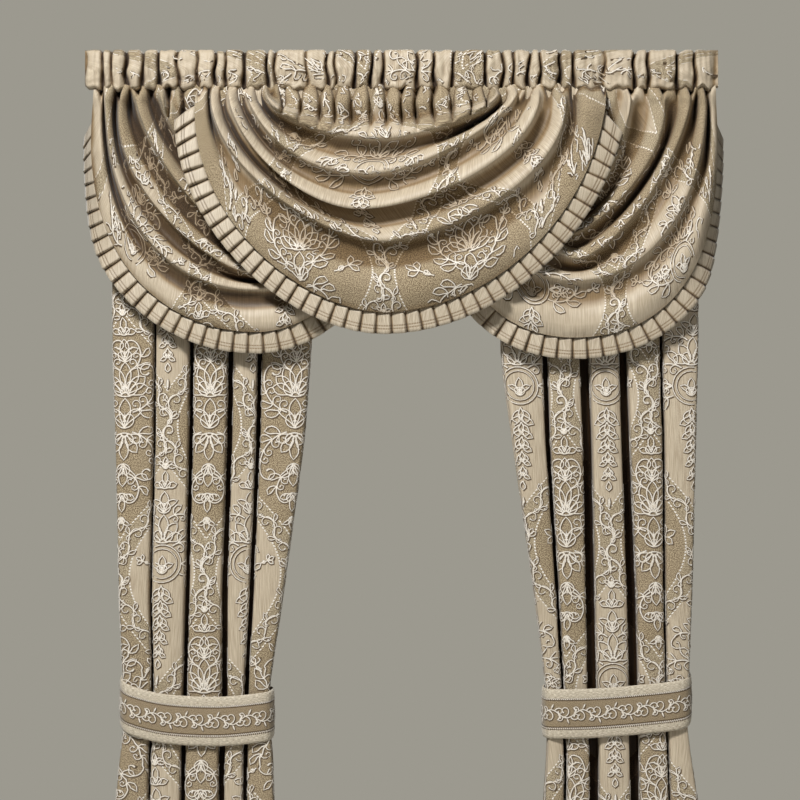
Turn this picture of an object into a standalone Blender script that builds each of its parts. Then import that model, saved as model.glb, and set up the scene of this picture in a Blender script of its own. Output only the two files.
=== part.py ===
# Swag and tail drape: a rod pocket with three overlapping swags, pleated trims, two fluted tails
# and two tie bands. Sizes are in millimetres. The origin is the middle of the pocket's top edge,
# X is to the right, Z up, and the front is -Y.
import bpy
import bmesh
import math
from collections import namedtuple

MM = 0.001

# Cloth
CLOTH = 2.0
BAND_CLOTH = 2.6

# Rod pocket
POCKET_HALF = 636.0
POCKET_FRONT = 24.0
POCKET_BACK = 13.0
END_PUFF = 0.6
END_OVER = 22.0
POCKET_STEPS = 3

# The gathers of the pocket: where each one dips, and how deep it is from 0 to 1.
Gather = namedtuple("Gather", "x depth")
GATHERS = [Gather(*g) for g in (
    (-603, 0.7), (-581, 0.5), (-551, 0.9), (-523, 0.7), (-485, 0.9), (-449, 0.5), (-412, 0.4),
    (-375, 0.9), (-353, 0.6), (-315, 0.9), (-270, 1.0), (-253, 0.6), (-191, 0.3), (-151, 0.8),
    (-133, 0.6), (-93, 0.8), (-61, 0.9), (-35, 0.7), (31, 0.8), (65, 0.9), (103, 0.6), (167, 1.0),
    (205, 0.9), (225, 0.6), (257, 0.9), (279, 0.7), (319, 1.0), (345, 0.7), (405, 0.3), (467, 1.0),
    (495, 0.7), (555, 0.9), (589, 0.7),
)]

# The pocket's section from its seam, up the front, over the top and down the back.
# Each row: share of the front or back depth, height below the top, share of the gathers it takes.
Ring = namedtuple("Ring", "side depth drop puff")
POCKET_RING = [Ring(*r) for r in (
    ("front", 0.15, 74.0, 0.0),
    ("front", 0.84, 65.0, 0.8),
    ("front", 1.00, 37.0, 1.0),
    ("front", 0.66, 6.0, 0.4),
    ("back", 0.30, 1.0, 0.4),
    ("back", 1.00, 24.0, 0.3),
    ("back", 0.25, 74.0, 0.0),
)]
GATHER_DEEP = 11.5
GATHER_WIDE = 7.0
TOP_DIP = 2.5

# Swags. Every fold hangs from two points of the seam and is lowest between them.
# Each side: where it leaves the seam, how far it leans sideways, how long it falls
# and how long it lies flat.
SEAM_Z = -75.9
Side = namedtuple("Side", "root lean fall flat")
Fold = namedtuple("Fold", "low_x low_z left right lift")
Swag = namedtuple("Swag", "folds seam_out base_out base_rise covered columns")

CENTER_FOLDS = [Fold(x, z, Side(*a), Side(*b), lift) for x, z, a, b, lift in (
    (-50, SEAM_Z, (-255, 0, 0, 130), (160, 0, 0, 110), 0),
    (-30, -185, (-271, -8, 64, 139), (177, 77, 44, 48), 26),
    (-66, -255, (-314, 26, 98, 137), (235, 0, 58, 109), 24),
    (-84, -326, (-345, -1, 115, 112), (271, 26, 127, 141), 30),
    (-37, -388, (-378, -20, 149, 125), (321, 43, 183, 100), 26),
    (-35, -475, (-394, -2, 258, 174), (362, 44, 255, 191), 26),
    (-36, -530, (-408, -36, 259, 158), (410, -12, 251, 220), 9),
)]

# A side swag's folds are given from its middle: the outer side shows, the inner side goes
# behind the centre.
# Each row: lowest height, half width at the seam, outward lean, fall, flat, lift.
SideRow = namedtuple("SideRow", "low_z half lean fall flat lift")
LEFT_MIDDLE = -293.0
LEFT_HIDDEN = 0.78
LEFT_ROWS = [SideRow(*r) for r in (
    (SEAM_Z, 150, 0, 0, 60, 0),
    (-318, 190, 0, 100, 50, 20),
    (-405, 241, -8, 133, 51, 22),
    (-450, 262, 62, 175, 86, 20),
    (-483, 300, 4, 265, 170, 22),
    (-546, 313, 16, 308, 216, 20),
    (-568, 323, 51, 326, 193, 4),
)]
RIGHT_MIDDLE = 347.0
RIGHT_HIDDEN = 0.92
RIGHT_ROWS = [SideRow(*r) for r in (
    (SEAM_Z, 70, 0, 0, 30, 0),
    (-323, 112, 7, 111, 30, 20),
    (-371, 173, 39, 153, 20, 20),
    (-421, 233, -3, 129, 79, 24),
    (-465, 264, 4, 215, 158, 22),
    (-552, 275, 48, 290, 160, 22),
    (-579, 283, 38, 347, 199, 4),
)]

# From one fold's crest to the next: share of the way, height on this crest, height on the next one.
Step = namedtuple("Step", "share here there")
ROLL = [Step(*s) for s in (
    (0.0, 1.0, 0.0),
    (0.11, 0.55, 0.0),
    (0.34, 0.0, 0.0),
    (0.68, 0.0, 0.58),
)]
FIRST_ROLL = [Step(*s) for s in (
    (0.0, 0.0, 0.0),
    (0.12, 0.0, 0.10),
    (0.42, 0.0, 0.35),
    (0.72, 0.0, 0.75),
)]
LIFT_SHARE = 0.44
FOLD_RISE = 42.0
COVERED_RISE = 130.0
COVER_HALF = 405.0
COVER_OVER = 30.0

# The skirt of gathers just below the seam
SKIRT_OUT = 9.0
SKIRT_DIP = 12.0
SKIRT_FADE = 75.0

# The outer edges of the side swags and of their trims turn back toward the rod's ends.
RETURN_FROM = 590.0
RETURN_OVER = 60.0
RETURN_BACK = 22.0
TURN_FROM = 545.0
TURN_OVER = 100.0
TURN_MOST = math.radians(66.0)

# Pleated trims
TRIM_WIDE = 42.0
TRIM_UNDER = 0.5
TRIM_BEHIND = 3.8
TRIM_START = 86.0
PLEAT = 28.0
PLEAT_EDGE = 0.84
PLEAT_DEEP = 3.0

# Tails. Each row: height, outer edge, four gaps between five flutes, inner edge,
# depth of the flutes.
Level = namedtuple("Level", "z outer gap_a gap_b gap_c gap_d inner deep")
LEFT_TAIL = [Level(*r) for r in (
    (-6, -590, -496, -420, -341, -277, -165, 24),
    (-90, -590, -497, -421, -342, -279, -168, 40),
    (-594, -586, -500, -425, -346, -287, -183, 51),
    (-784, -580, -501, -427, -349, -291, -197, 51),
    (-1104, -573, -509, -435, -359, -305, -241, 50),
    (-1284, -565, -505, -439, -359, -315, -268, 45),
    (-1344, -560, -505, -440, -361, -316, -271, 43),
    (-1424, -571, -511, -443, -365, -317, -262, 47),
    (-1520, -580, -512, -444, -366, -318, -259, 50),
    (-2134, -588, -515, -446, -370, -322, -254, 52),
)]
RIGHT_TAIL = [Level(*r) for r in (
    (-6, 606, 526, 444, 366, 284, 186, 24),
    (-90, 606, 526, 445, 367, 286, 188, 40),
    (-624, 601, 527, 449, 371, 291, 203, 51),
    (-784, 597, 531, 455, 377, 297, 225, 51),
    (-1104, 589, 533, 467, 383, 317, 271, 50),
    (-1284, 582, 537, 471, 387, 327, 293, 45),
    (-1344, 578, 537, 471, 388, 329, 297, 43),
    (-1424, 587, 541, 473, 391, 333, 296, 47),
    (-1520, 602, 543, 474, 391, 332, 289, 50),
    (-2134, 612, 546, 476, 392, 331, 284, 52),
)]
TAIL_BACK = 69.0
TAIL_STEPS = (
    -6, -90, -220, -400, -594, -784, -944, -1104, -1194, -1284, -1344, -1424, -1520, -1700,
    -1920, -2134,
)

# A flute from gap to gap: share of its width, height.
Rib = namedtuple("Rib", "share height")
FLUTE = [Rib(*r) for r in (
    (0.0, 0.0),
    (0.09, 0.70),
    (0.28, 0.95),
    (0.70, 1.0),
    (0.91, 0.68),
)]
EDGE_HEIGHT = 0.55

# Tie bands. Each row: share of the way across the tail from its outer to its inner edge,
# depth, middle height.
Turn = namedtuple("Turn", "across deep z")
BAND_HIGH = 100.0
BAND_END_HIGH = 84.0
BAND_ROUND = 4
LEFT_BAND = [Turn(*r) for r in (
    (0.02, 98.0, -1306),
    (-0.03, 72.0, -1312),
    (-0.025, 34.0, -1320),
    (0.06, 13.0, -1332),
    (0.30, 11.0, -1348),
    (0.65, 11.0, -1353),
    (0.94, 13.0, -1346),
    (1.025, 34.0, -1342),
    (1.00, 70.0, -1338),
    (0.70, 76.0, -1334),
    (0.20, 77.0, -1322),
    (0.07, 92.0, -1312),
)]
RIGHT_BAND = [Turn(*r) for r in (
    (0.02, 98.0, -1298),
    (-0.03, 72.0, -1304),
    (-0.025, 34.0, -1312),
    (0.06, 13.0, -1320),
    (0.30, 11.0, -1328),
    (0.65, 11.0, -1336),
    (0.94, 13.0, -1338),
    (1.025, 34.0, -1338),
    (1.00, 70.0, -1334),
    (0.70, 76.0, -1328),
    (0.20, 77.0, -1314),
    (0.07, 92.0, -1304),
)]


# Small helpers
def mix(a, b, t):
    return a + (b - a) * t


def smooth(t):
    t = max(0.0, min(1.0, t))
    return t * t * (3.0 - 2.0 * t)


def side_point(fold, side, t):
    """A point of a fold in the drape's plane, from the seam at t 0 to its lowest point at t 1."""
    inward = 1.0 if fold.low_x > side.root else -1.0
    xs = (side.root, side.root + side.lean, fold.low_x - inward * side.flat, fold.low_x)
    zs = (SEAM_Z, SEAM_Z - side.fall, fold.low_z, fold.low_z)
    weights = ((1 - t) ** 3, 3 * (1 - t) ** 2 * t, 3 * (1 - t) * t ** 2, t ** 3)
    return sum(w * x for w, x in zip(weights, xs)), sum(w * z for w, z in zip(weights, zs))


def fold_point(fold, u):
    """A point of a fold, from its left root at u 0 to its right root at u 1."""
    if u <= 0.5:
        return side_point(fold, fold.left, 2.0 * u)
    return side_point(fold, fold.right, 2.0 - 2.0 * u)


def side_folds(rows, middle, hidden, outward):
    """The folds of a side swag. outward is -1 for the left swag and 1 for the right one."""
    folds = []
    for r in rows:
        shown = Side(middle + outward * r.half, outward * r.lean, r.fall, r.flat)
        other = Side(
            middle - outward * r.half * hidden, -outward * r.lean * hidden, r.fall, r.flat * hidden)
        left, right = (shown, other) if outward < 0 else (other, shown)
        folds.append(Fold(middle, r.low_z, left, right, r.lift))
    return folds


# Swags
def crest(folds, k, u):
    """How far fold k stands out at u: its lift, or less where its neighbours are near."""
    here = fold_point(folds[k], u)
    near = [fold_point(folds[j], u) for j in (k - 1, k + 1) if 0 <= j < len(folds)]
    gap = min(math.dist(here, p) for p in near)
    return min(folds[k].lift, LIFT_SHARE * gap)


def out_of_seam(swag, x, z, height):
    """A swag's y: flat at the seam, then puffed out in a skirt, and turned back at the ends."""
    drop = SEAM_Z - z
    cover = 1.0 if not swag.covered else smooth((abs(x) - COVER_HALF) / COVER_OVER)
    base = mix(swag.seam_out, swag.base_out, smooth(drop / swag.base_rise))
    fold = height * smooth(drop / mix(COVERED_RISE, FOLD_RISE, cover))
    fade = smooth(drop / 12.0) * (1.0 - smooth(drop / SKIRT_FADE)) * cover
    skirt = (SKIRT_OUT - SKIRT_DIP * dip(x)) * fade
    back = RETURN_BACK * smooth((abs(x) - RETURN_FROM) / RETURN_OVER) * smooth(drop / FOLD_RISE)
    return back - base - fold - skirt


def swag_point(swag, k, step, u):
    """A point of the swag between fold k and the next one."""
    folds = swag.folds
    x, z = fold_point(folds[k], u)
    height = crest(folds, k, u) * step.here
    if step.share:
        x2, z2 = fold_point(folds[k + 1], u)
        height += crest(folds, k + 1, u) * step.there
        x, z = mix(x, x2, step.share), mix(z, z2, step.share)
    return x, out_of_seam(swag, x, z, height), z


def swag_rows(swag):
    """The swag's grid, a row across each fold and each step between folds."""
    us = [i / swag.columns for i in range(swag.columns + 1)]
    rows = []
    for k in range(len(swag.folds) - 1):
        rows += [[swag_point(swag, k, s, u) for u in us] for s in (ROLL if k else FIRST_ROLL)]
    rows.append([swag_point(swag, len(swag.folds) - 1, ROLL[0], u) for u in us])
    return rows


# Trims
def along(points, s):
    """The point at distance s along a line, and the line's direction there in the drape's plane."""
    done = 0.0
    for a, b in zip(points, points[1:]):
        step = math.dist(a, b)
        if done + step >= s or b is points[-1]:
            t = (s - done) / step
            flat = math.hypot(b[0] - a[0], b[2] - a[2])
            way = ((b[0] - a[0]) / flat, (b[2] - a[2]) / flat)
            return [mix(p, q, t) for p, q in zip(a, b)], way
        done += step


def trim_rows(swag):
    """Two edges of a knife-pleated strip that follows the hem just behind it."""
    points = swag_rows(swag)[-1]
    length = sum(math.dist(a, b) for a, b in zip(points, points[1:])) - 2.0 * TRIM_START
    pleats = round(length / PLEAT)
    inner, outer = [], []
    for i in range(pleats):
        for share, front in ((0.0, 0.0), (PLEAT_EDGE, 1.0)):
            spot, way = along(points, TRIM_START + (i + share) * length / pleats)
            turned = smooth((abs(spot[0]) - TURN_FROM) / TURN_OVER) if swag.covered else 0.0
            turn = TURN_MOST * turned
            out = (way[1] * math.cos(turn), math.sin(turn), -way[0] * math.cos(turn))
            y = spot[1] + TRIM_BEHIND + PLEAT_DEEP * (1.0 - front)
            wide = TRIM_WIDE + front
            inner.append((spot[0] - way[1] * TRIM_UNDER, y, spot[2] + way[0] * TRIM_UNDER))
            outer.append((spot[0] + out[0] * wide, y + out[1] * wide - PLEAT_DEEP * (front - 0.5),
                          spot[2] + out[2] * wide))
    return [inner, outer]


# Rod pocket
def dip(x):
    """How far the gathers draw the pocket's cloth in at x, from 0 to 1."""
    return max(g.depth * math.exp(-((x - g.x) / GATHER_WIDE) ** 2) for g in GATHERS)


def pocket_stations():
    """Where the pocket's sections stand: each gather's dip and the puff between two gathers."""
    edges = [-POCKET_HALF] + [g.x for g in GATHERS] + [POCKET_HALF]
    stations = []
    for a, b in zip(edges, edges[1:]):
        stations += [mix(a, b, i / POCKET_STEPS) for i in range(POCKET_STEPS)]
    return stations + [POCKET_HALF]


def pocket_rows():
    rows = []
    for x in pocket_stations():
        end = mix(END_PUFF, 1.0, smooth((POCKET_HALF - abs(x)) / END_OVER))
        row = []
        for r in POCKET_RING:
            y = -POCKET_FRONT * r.depth if r.side == "front" else POCKET_BACK * r.depth
            if r.side == "front":
                y = y * end + GATHER_DEEP * dip(x) * r.puff
            z = -r.drop - (TOP_DIP * dip(x) if r.drop < 10.0 else 0.0)
            row.append((x, y, z))
        rows.append(row)
    return rows


# Tails
def level_at(levels, z):
    """The tail's section at a height between two of its levels."""
    for a, b in zip(levels, levels[1:]):
        if a.z >= z >= b.z:
            t = (z - a.z) / (b.z - a.z)
            return Level(*(mix(p, q, t) for p, q in zip(a, b)))
    return levels[-1]


def tail_row(level):
    edges = level[1:7]
    row = []
    for i, (a, b) in enumerate(zip(edges, edges[1:])):
        for rib in FLUTE:
            height = rib.height if i or rib.share else EDGE_HEIGHT
            row.append((mix(a, b, rib.share), TAIL_BACK - level.deep * height, level.z))
    row.append((edges[-1], TAIL_BACK - level.deep * EDGE_HEIGHT, level.z))
    return row


def tail_rows(levels):
    return [tail_row(level_at(levels, z)) for z in TAIL_STEPS]


# Tie bands
def rounded(turns):
    """A smooth line through the band's turns."""
    line = []
    for i in range(len(turns) - 1):
        a, b, c, d = (turns[max(0, min(len(turns) - 1, i + j))] for j in (-1, 0, 1, 2))
        for n in range(BAND_ROUND):
            t = n / BAND_ROUND
            line.append(tuple(
                0.5 * (2 * q + (r - p) * t + (2 * p - 5 * q + 4 * r - s) * t * t
                       + (3 * q - p - 3 * r + s) * t ** 3)
                for p, q, r, s in zip(a, b, c, d)))
    return line + [tuple(turns[-1])]


def band_rows(turns, levels):
    level = level_at(levels, -1340.0)
    line = rounded(turns)
    rows = []
    for side in (0.5, 0.0, -0.5):
        row = []
        for i, (across, deep, z) in enumerate(line):
            ends = smooth(min(i, len(line) - 1 - i) / 6.0)
            high = mix(BAND_END_HIGH, BAND_HIGH, ends)
            row.append((mix(level.outer, level.inner, across), deep, z + high * side))
        rows.append(row)
    return rows


# Meshes
def grid_object(name, rows, thick, material, closed=False):
    """A sheet through a grid of points, given its thickness by a Solidify modifier."""
    bm = bmesh.new()
    grid = [[bm.verts.new([c * MM for c in p]) for p in row] for row in rows]
    for low, high in zip(grid, grid[1:]):
        for j in range(len(low) - (0 if closed else 1)):
            k = (j + 1) % len(low)
            bm.faces.new((low[j], low[k], high[k], high[j]))
    bmesh.ops.recalc_face_normals(bm, faces=bm.faces)
    mesh = bpy.data.meshes.new(name)
    bm.to_mesh(mesh)
    bm.free()
    obj = bpy.data.objects.new(name, mesh)
    obj.data.materials.append(material)
    sheet = obj.modifiers.new("cloth", "SOLIDIFY")
    sheet.thickness = thick * MM
    sheet.offset = 0.0
    sheet.use_even_offset = False
    DRAPE.objects.link(obj)
    return obj


def cloth_material(name, color, rough):
    mat = bpy.data.materials.new(name)
    mat.use_nodes = True
    shader = mat.node_tree.nodes["Principled BSDF"]
    shader.inputs["Base Color"].default_value = (*color, 1.0)
    shader.inputs["Roughness"].default_value = rough
    shader.inputs["Metallic"].default_value = 0.0
    mat.diffuse_color = (*color, 1.0)
    return mat


for old in list(bpy.data.objects):
    bpy.data.objects.remove(old)
DRAPE = bpy.data.collections.new("swag_and_tail_drape")
bpy.context.scene.collection.children.link(DRAPE)

damask = cloth_material("sand damask", (0.58, 0.46, 0.29), 0.72)
satin = cloth_material("gold satin trim", (0.50, 0.37, 0.19), 0.5)
band_cloth = cloth_material("gold tie band", (0.55, 0.41, 0.22), 0.6)

center = Swag(CENTER_FOLDS, 10.0, 50.0, 55.0, False, 30)
left = Swag(side_folds(LEFT_ROWS, LEFT_MIDDLE, LEFT_HIDDEN, -1), 4.0, 12.0, 90.0, True, 22)
right = Swag(side_folds(RIGHT_ROWS, RIGHT_MIDDLE, RIGHT_HIDDEN, 1), 4.0, 12.0, 90.0, True, 22)

grid_object("valance_heading", pocket_rows(), CLOTH, damask, closed=True)
for side, swag in (("center", center), ("left", left), ("right", right)):
    grid_object("swag_" + side, swag_rows(swag), CLOTH, damask)
    grid_object("trim_" + side, trim_rows(swag), CLOTH, satin)
grid_object("tail_left", tail_rows(LEFT_TAIL), CLOTH, damask)
grid_object("tail_right", tail_rows(RIGHT_TAIL), CLOTH, damask)
grid_object("tieback_left", band_rows(LEFT_BAND, LEFT_TAIL), BAND_CLOTH, band_cloth)
grid_object("tieback_right", band_rows(RIGHT_BAND, RIGHT_TAIL), BAND_CLOTH, band_cloth)
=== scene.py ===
"""Swag and tail drape: rod pocket, three swags with pleated trims, and two tails with tie bands."""

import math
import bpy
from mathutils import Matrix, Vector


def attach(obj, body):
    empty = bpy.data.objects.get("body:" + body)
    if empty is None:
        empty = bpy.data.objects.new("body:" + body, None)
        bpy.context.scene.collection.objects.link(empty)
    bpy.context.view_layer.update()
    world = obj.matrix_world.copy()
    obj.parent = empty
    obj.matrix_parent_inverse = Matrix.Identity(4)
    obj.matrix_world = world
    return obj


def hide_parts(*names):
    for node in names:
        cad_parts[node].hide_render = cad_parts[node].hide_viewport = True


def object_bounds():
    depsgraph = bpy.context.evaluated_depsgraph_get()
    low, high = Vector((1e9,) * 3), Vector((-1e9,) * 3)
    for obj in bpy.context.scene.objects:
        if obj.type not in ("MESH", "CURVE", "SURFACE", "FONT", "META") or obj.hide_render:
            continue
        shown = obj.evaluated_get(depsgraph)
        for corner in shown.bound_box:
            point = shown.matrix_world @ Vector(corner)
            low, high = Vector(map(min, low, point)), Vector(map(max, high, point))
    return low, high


bl_info = {
    "name": "Swag and Tail Drape",
    "version": (1, 0, 0),
    "blender": (4, 5, 0),
    "location": "View3D > Sidebar > Drape",
    "description": "Hangs a damask swag and tail drape piece by piece",
    "category": "Add Mesh",
}

from bisect import bisect_right
from collections import namedtuple

import bmesh
import bpy
import numpy
from mathutils import Vector, noise

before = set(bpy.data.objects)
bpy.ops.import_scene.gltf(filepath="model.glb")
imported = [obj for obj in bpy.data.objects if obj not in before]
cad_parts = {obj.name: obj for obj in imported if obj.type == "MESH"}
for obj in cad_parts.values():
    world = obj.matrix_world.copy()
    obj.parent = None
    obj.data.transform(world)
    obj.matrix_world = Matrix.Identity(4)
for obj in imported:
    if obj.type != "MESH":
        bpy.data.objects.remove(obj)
CAD_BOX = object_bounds()
MM = 0.001

# Sizes in millimetres, as in the part's source. Z is the height below the pocket's top edge.
CLOTH_THICK = 0.9
BAND_THICK = 1.6

# Rod pocket
POCKET_HALF = 636.0
POCKET_FRONT = 23.0
POCKET_BACK = 13.0
END_PUFF = 0.6
END_OVER = 22.0
GATHER_DEEP = 20.0
POCKET_PUFF = 7.0
TOP_DIP = 5.0
POCKET_ARCH = 4.0
ARCH_GROWS = 36.0
# Half width of a gather at the top and at the seam, and where it starts to widen
POCKET_CREASE = (2.6, 6.0)
TOP_CREASE = 4.0
CREASE_FROM = 40.0
CREASE_OVER = 34.0
RAGGED_LEAST = 0.4
RAGGED_OVER = 20.0
BACK_PINCH = -0.4
END_STRIP = 30.0
Gather = namedtuple("Gather", "x depth")
GATHERS = [Gather(*g) for g in (
    (-603, 0.7), (-581, 0.5), (-551, 0.9), (-523, 0.7), (-485, 0.9), (-449, 0.5), (-412, 0.4),
    (-375, 0.9), (-353, 0.6), (-315, 0.9), (-270, 1.0), (-253, 0.6), (-191, 0.3), (-151, 0.8),
    (-133, 0.6), (-93, 0.8), (-61, 0.9), (-35, 0.7), (31, 0.8), (65, 0.9), (103, 0.6), (167, 1.0),
    (205, 0.9), (225, 0.6), (257, 0.9), (279, 0.7), (319, 1.0), (345, 0.7), (405, 0.3), (467, 1.0),
    (495, 0.7), (555, 0.9), (589, 0.7),
)]
SKIRT_GATHERS = [Gather(*g) for g in (
    (-605, 0.8), (-569, 0.9), (-529, 0.9), (-503, 0.8), (-469, 0.9), (-441, 0.5), (-405, 0.9),
    (-355, 1.0), (-317, 0.9), (-287, 0.9), (-239, 1.0), (-203, 0.6), (-163, 0.7), (-133, 0.9),
    (-99, 0.7), (-61, 0.9), (-31, 0.6), (1, 0.7), (31, 0.9), (65, 0.8), (101, 0.8), (137, 0.6),
    (169, 0.9), (203, 0.9), (235, 0.9), (257, 0.8), (295, 0.9), (321, 0.8), (349, 0.6), (405, 0.4),
    (461, 0.9), (491, 0.7), (525, 0.9), (555, 0.8), (581, 0.9), (613, 0.8),
)]
# How far each strip between two gathers stands askew, in turn
STRIP_LEANS = (3.4, -2.2, 1.0, -3.6, 2.6, -0.6, 3.0, -3.0, 0.4, -1.6, 2.0)
# The pocket's section, from the seam at the back over the top to the seam at the front: 1 where it
# is the front, share of the depth, drop below the top, puff. The first and last row only guide it.
POCKET_RINGS = (
    (0.0, 0.50, 50.0, 0.2),
    (0.0, 0.00, 74.0, 0.0),
    (0.0, 1.00, 24.0, 0.3),
    (0.0, 0.30, 1.0, 0.4),
    (1.0, 0.76, 5.0, 0.7),
    (1.0, 0.98, 36.0, 1.0),
    (1.0, 0.92, 62.0, 1.0),
    (1.0, 0.82, 77.0, 0.8),
    (1.0, 0.00, 80.0, 0.1),
    (1.0, 0.00, 80.0, 0.0),
)
POCKET_ROWS = [(-depth * POCKET_FRONT if front else depth * POCKET_BACK, drop, puff, front)
               for front, depth, drop, puff in POCKET_RINGS]

# Small unevenness of the hung cloth: its rise, its width and length, and the noise's own seed
Rumple = namedtuple("Rumple", "rise wide long seed")
SEAM_WOBBLE = Rumple(11.0, 17.0, 17.0, 13.0)
SKIRT_SWAY = Rumple(7.0, 70.0, 70.0, 3.0)
SKIRT_CRINKLE = Rumple(2.2, 9.0, 60.0, 21.0)
SWAG_SOFT = Rumple(1.8, 60.0, 60.0, 7.0)
SWAG_FINE = Rumple(0.8, 24.0, 24.0, 11.0)
POCKET_SWAY = Rumple(8.0, 45.0, 45.0, 5.0)
POCKET_CRINKLE = Rumple(3.0, 8.0, 60.0, 21.0)
POCKET_SOFT = Rumple(1.0, 24.0, 24.0, 9.0)
POCKET_FINE = Rumple(2.4, 16.0, 16.0, 31.0)
POCKET_FINE_HIGH = 1.4
TOP_RAGGED = Rumple(6.0, 22.0, 22.0, 15.0)
TAIL_SWAY = Rumple(1.6, 60.0, 60.0, 2.0)
TAIL_SWAY_HIGH = 0.25
TAIL_SOFT = Rumple(1.6, 45.0, 45.0, 4.0)
TAIL_SOFT_HIGH = 0.3
BAND_SOFT = Rumple(0.8, 50.0, 50.0, 6.0)

# Swags: each fold hangs from two points of the seam
SEAM_Z = -75.9
Side = namedtuple("Side", "root lean fall flat")
Fold = namedtuple("Fold", "low_x low_z left right lift")
Swag = namedtuple("Swag", "folds seam_out base_out base_rise covered tucks recess shift")
CENTER_FOLDS = [Fold(x, z, Side(*a), Side(*b), lift) for x, z, a, b, lift in (
    (-50, SEAM_Z, (-255, 0, 0, 130), (160, 0, 0, 110), 0),
    (-30, -185, (-271, -8, 64, 139), (177, 77, 44, 48), 26),
    (-66, -255, (-314, 26, 98, 137), (235, 0, 58, 109), 24),
    (-84, -326, (-345, -1, 115, 112), (271, 26, 127, 141), 30),
    (-37, -388, (-378, -20, 149, 125), (321, 43, 183, 100), 26),
    (-35, -475, (-394, -2, 258, 174), (362, 44, 255, 191), 26),
    (-36, -530, (-408, -36, 259, 158), (410, -12, 251, 220), 9),
)]
SideRow = namedtuple("SideRow", "low_z half lean fall flat lift")
LEFT_MIDDLE = -293.0
LEFT_HIDDEN = 0.78
LEFT_ROWS = [SideRow(*r) for r in (
    (SEAM_Z, 150, 0, 0, 60, 0),
    (-318, 190, 0, 100, 50, 20),
    (-405, 241, -8, 133, 51, 22),
    (-450, 262, 62, 175, 86, 20),
    (-483, 300, 4, 265, 170, 22),
    (-546, 313, 16, 308, 216, 20),
    (-568, 323, 51, 326, 193, 4),
)]
RIGHT_MIDDLE = 347.0
RIGHT_HIDDEN = 0.92
RIGHT_ROWS = [SideRow(*r) for r in (
    (SEAM_Z, 70, 0, 0, 30, 0),
    (-323, 112, 7, 111, 30, 20),
    (-371, 173, 39, 153, 20, 20),
    (-421, 233, -3, 129, 79, 24),
    (-465, 264, 4, 215, 158, 22),
    (-552, 275, 48, 290, 160, 22),
    (-579, 283, 38, 347, 199, 4),
)]
LIFT_SHARE = 0.5
FOLD_RISE = 26.0
COVERED_RISE = 130.0
COVER_HALF = 405.0
COVER_OVER = 30.0
# The gathered skirt under the seam: how far it puffs out, how deep its gathers are, how far down they
# reach, the share of that over which they stay full, and the gathers' half width at the seam and below
SKIRT_OUT = 17.0
SKIRT_LEAST = 0.1
SKIRT_ASKEW = 1.5
SKIRT_DIP = 30.0
SKIRT_FADE = 108.0
SKIRT_FULL = 0.5
SKIRT_STARTS = 34.0
SKIRT_SHORT = 0.37
SKIRT_CREASE = (6.0, 2.8)
SKIRT_CREASE_OVER = 26.0
SWAY_OVER = 40.0
SOFT_OVER = 30.0
# The middle swag's skirt sinks in a little in its middle
SINK_DEEP = 16.0
SINK_HALF = 190.0
SINK_DROP = 58.0
SINK_OVER = 26.0
VALLEY_DEEP = 9.0
VALLEY_SHARE = 0.3
VALLEY_FADE = 150.0
# Where folds run close together the cloth between them is a narrow slit
SLIT_DEEP = 24.0
SLIT_SHARE = 1.3
SLIT_GAP = 34.0
SLIT_OVER = 24.0
SLIT_AT = 0.56
SLIT_WIDE = 0.11
# Under some crests the cloth is tucked up behind the roll
TUCK_AT = 0.20
TUCK_WIDE = 0.10
TUCK_UP = 0.22
TUCK_DEEP = 20.0
TUCK_STRETCH = 1.15
TUCK_END = 0.87
# The seam's own waver, and the small arches in which the gathers hang from it
SEAM_DROP = 75.0
SEAM_OVER = 16.0
ARCH_HIGH = 6.0
ARCH_LEVEL = 0.45
ARCH_FADE = 30.0
# The swags' outer ends turn back toward the wall
RETURN_FROM = 590.0
RETURN_OVER = 60.0
RETURN_BACK = 22.0
RETURN_DROP = 26.0

# From one crest to the next in equal steps, with one step before and one after.
# Each row: share of the way, height on this crest, height on the next one. A crest is a roll with a
# light upper face, and under it the cloth runs back into a wide shaded recess.
Step = namedtuple("Step", "share here there")
ROLL = [Step(*s) for s in (
    (-0.15, 0.94, 0.0), (0.0, 1.0, 0.0), (0.05, 0.78, 0.0), (0.13, 0.40, 0.0), (0.25, 0.10, 0.0),
    (0.40, 0.0, 0.02), (0.54, 0.0, 0.16), (0.67, 0.0, 0.60), (0.83, 0.0, 0.93), (1.0, 0.0, 1.0),
    (1.05, 0.0, 0.78),
)]
FIRST_ROLL = [Step(*s) for s in (
    (-0.1, 0.0, 0.0), (0.0, 0.0, 0.0), (0.13, 0.0, -0.05), (0.28, 0.0, -0.30), (0.44, 0.0, -0.60),
    (0.60, 0.0, -0.70), (0.72, 0.0, -0.10), (0.81, 0.0, 0.60), (0.90, 0.0, 0.93), (1.0, 0.0, 1.0),
    (1.05, 0.0, 0.78),
)]
# The last stretch runs straight from its crest to the hem.
HEM_ROLL = [Step(*s) for s in (
    (-0.1, 0.97, 0.0), (0.0, 1.0, 0.0), (0.12, 0.98, 0.05), (0.27, 0.90, 0.15), (0.43, 0.75, 0.35),
    (0.60, 0.55, 0.55), (0.76, 0.33, 0.75), (0.90, 0.12, 0.90), (1.0, 0.0, 1.0), (1.1, -0.12, 1.0),
)]

# Trims
TRIM_WIDE = 42.0
TRIM_UNDER = 1.0
TRIM_BEHIND = 3.2
TRIM_START = 86.0
PLEAT = 28.0
TRIM_SLANT = 30.0
TRIM_SLANT_OVER = 110.0
TRIM_END_BACK = 5.0
PLEAT_DEEP = 4.2
TURN_FROM = 545.0
TURN_OVER = 100.0
TURN_MOST = math.radians(66.0)
PLEAT_STEPS = 14
TRIM_ROWS = 6
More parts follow.
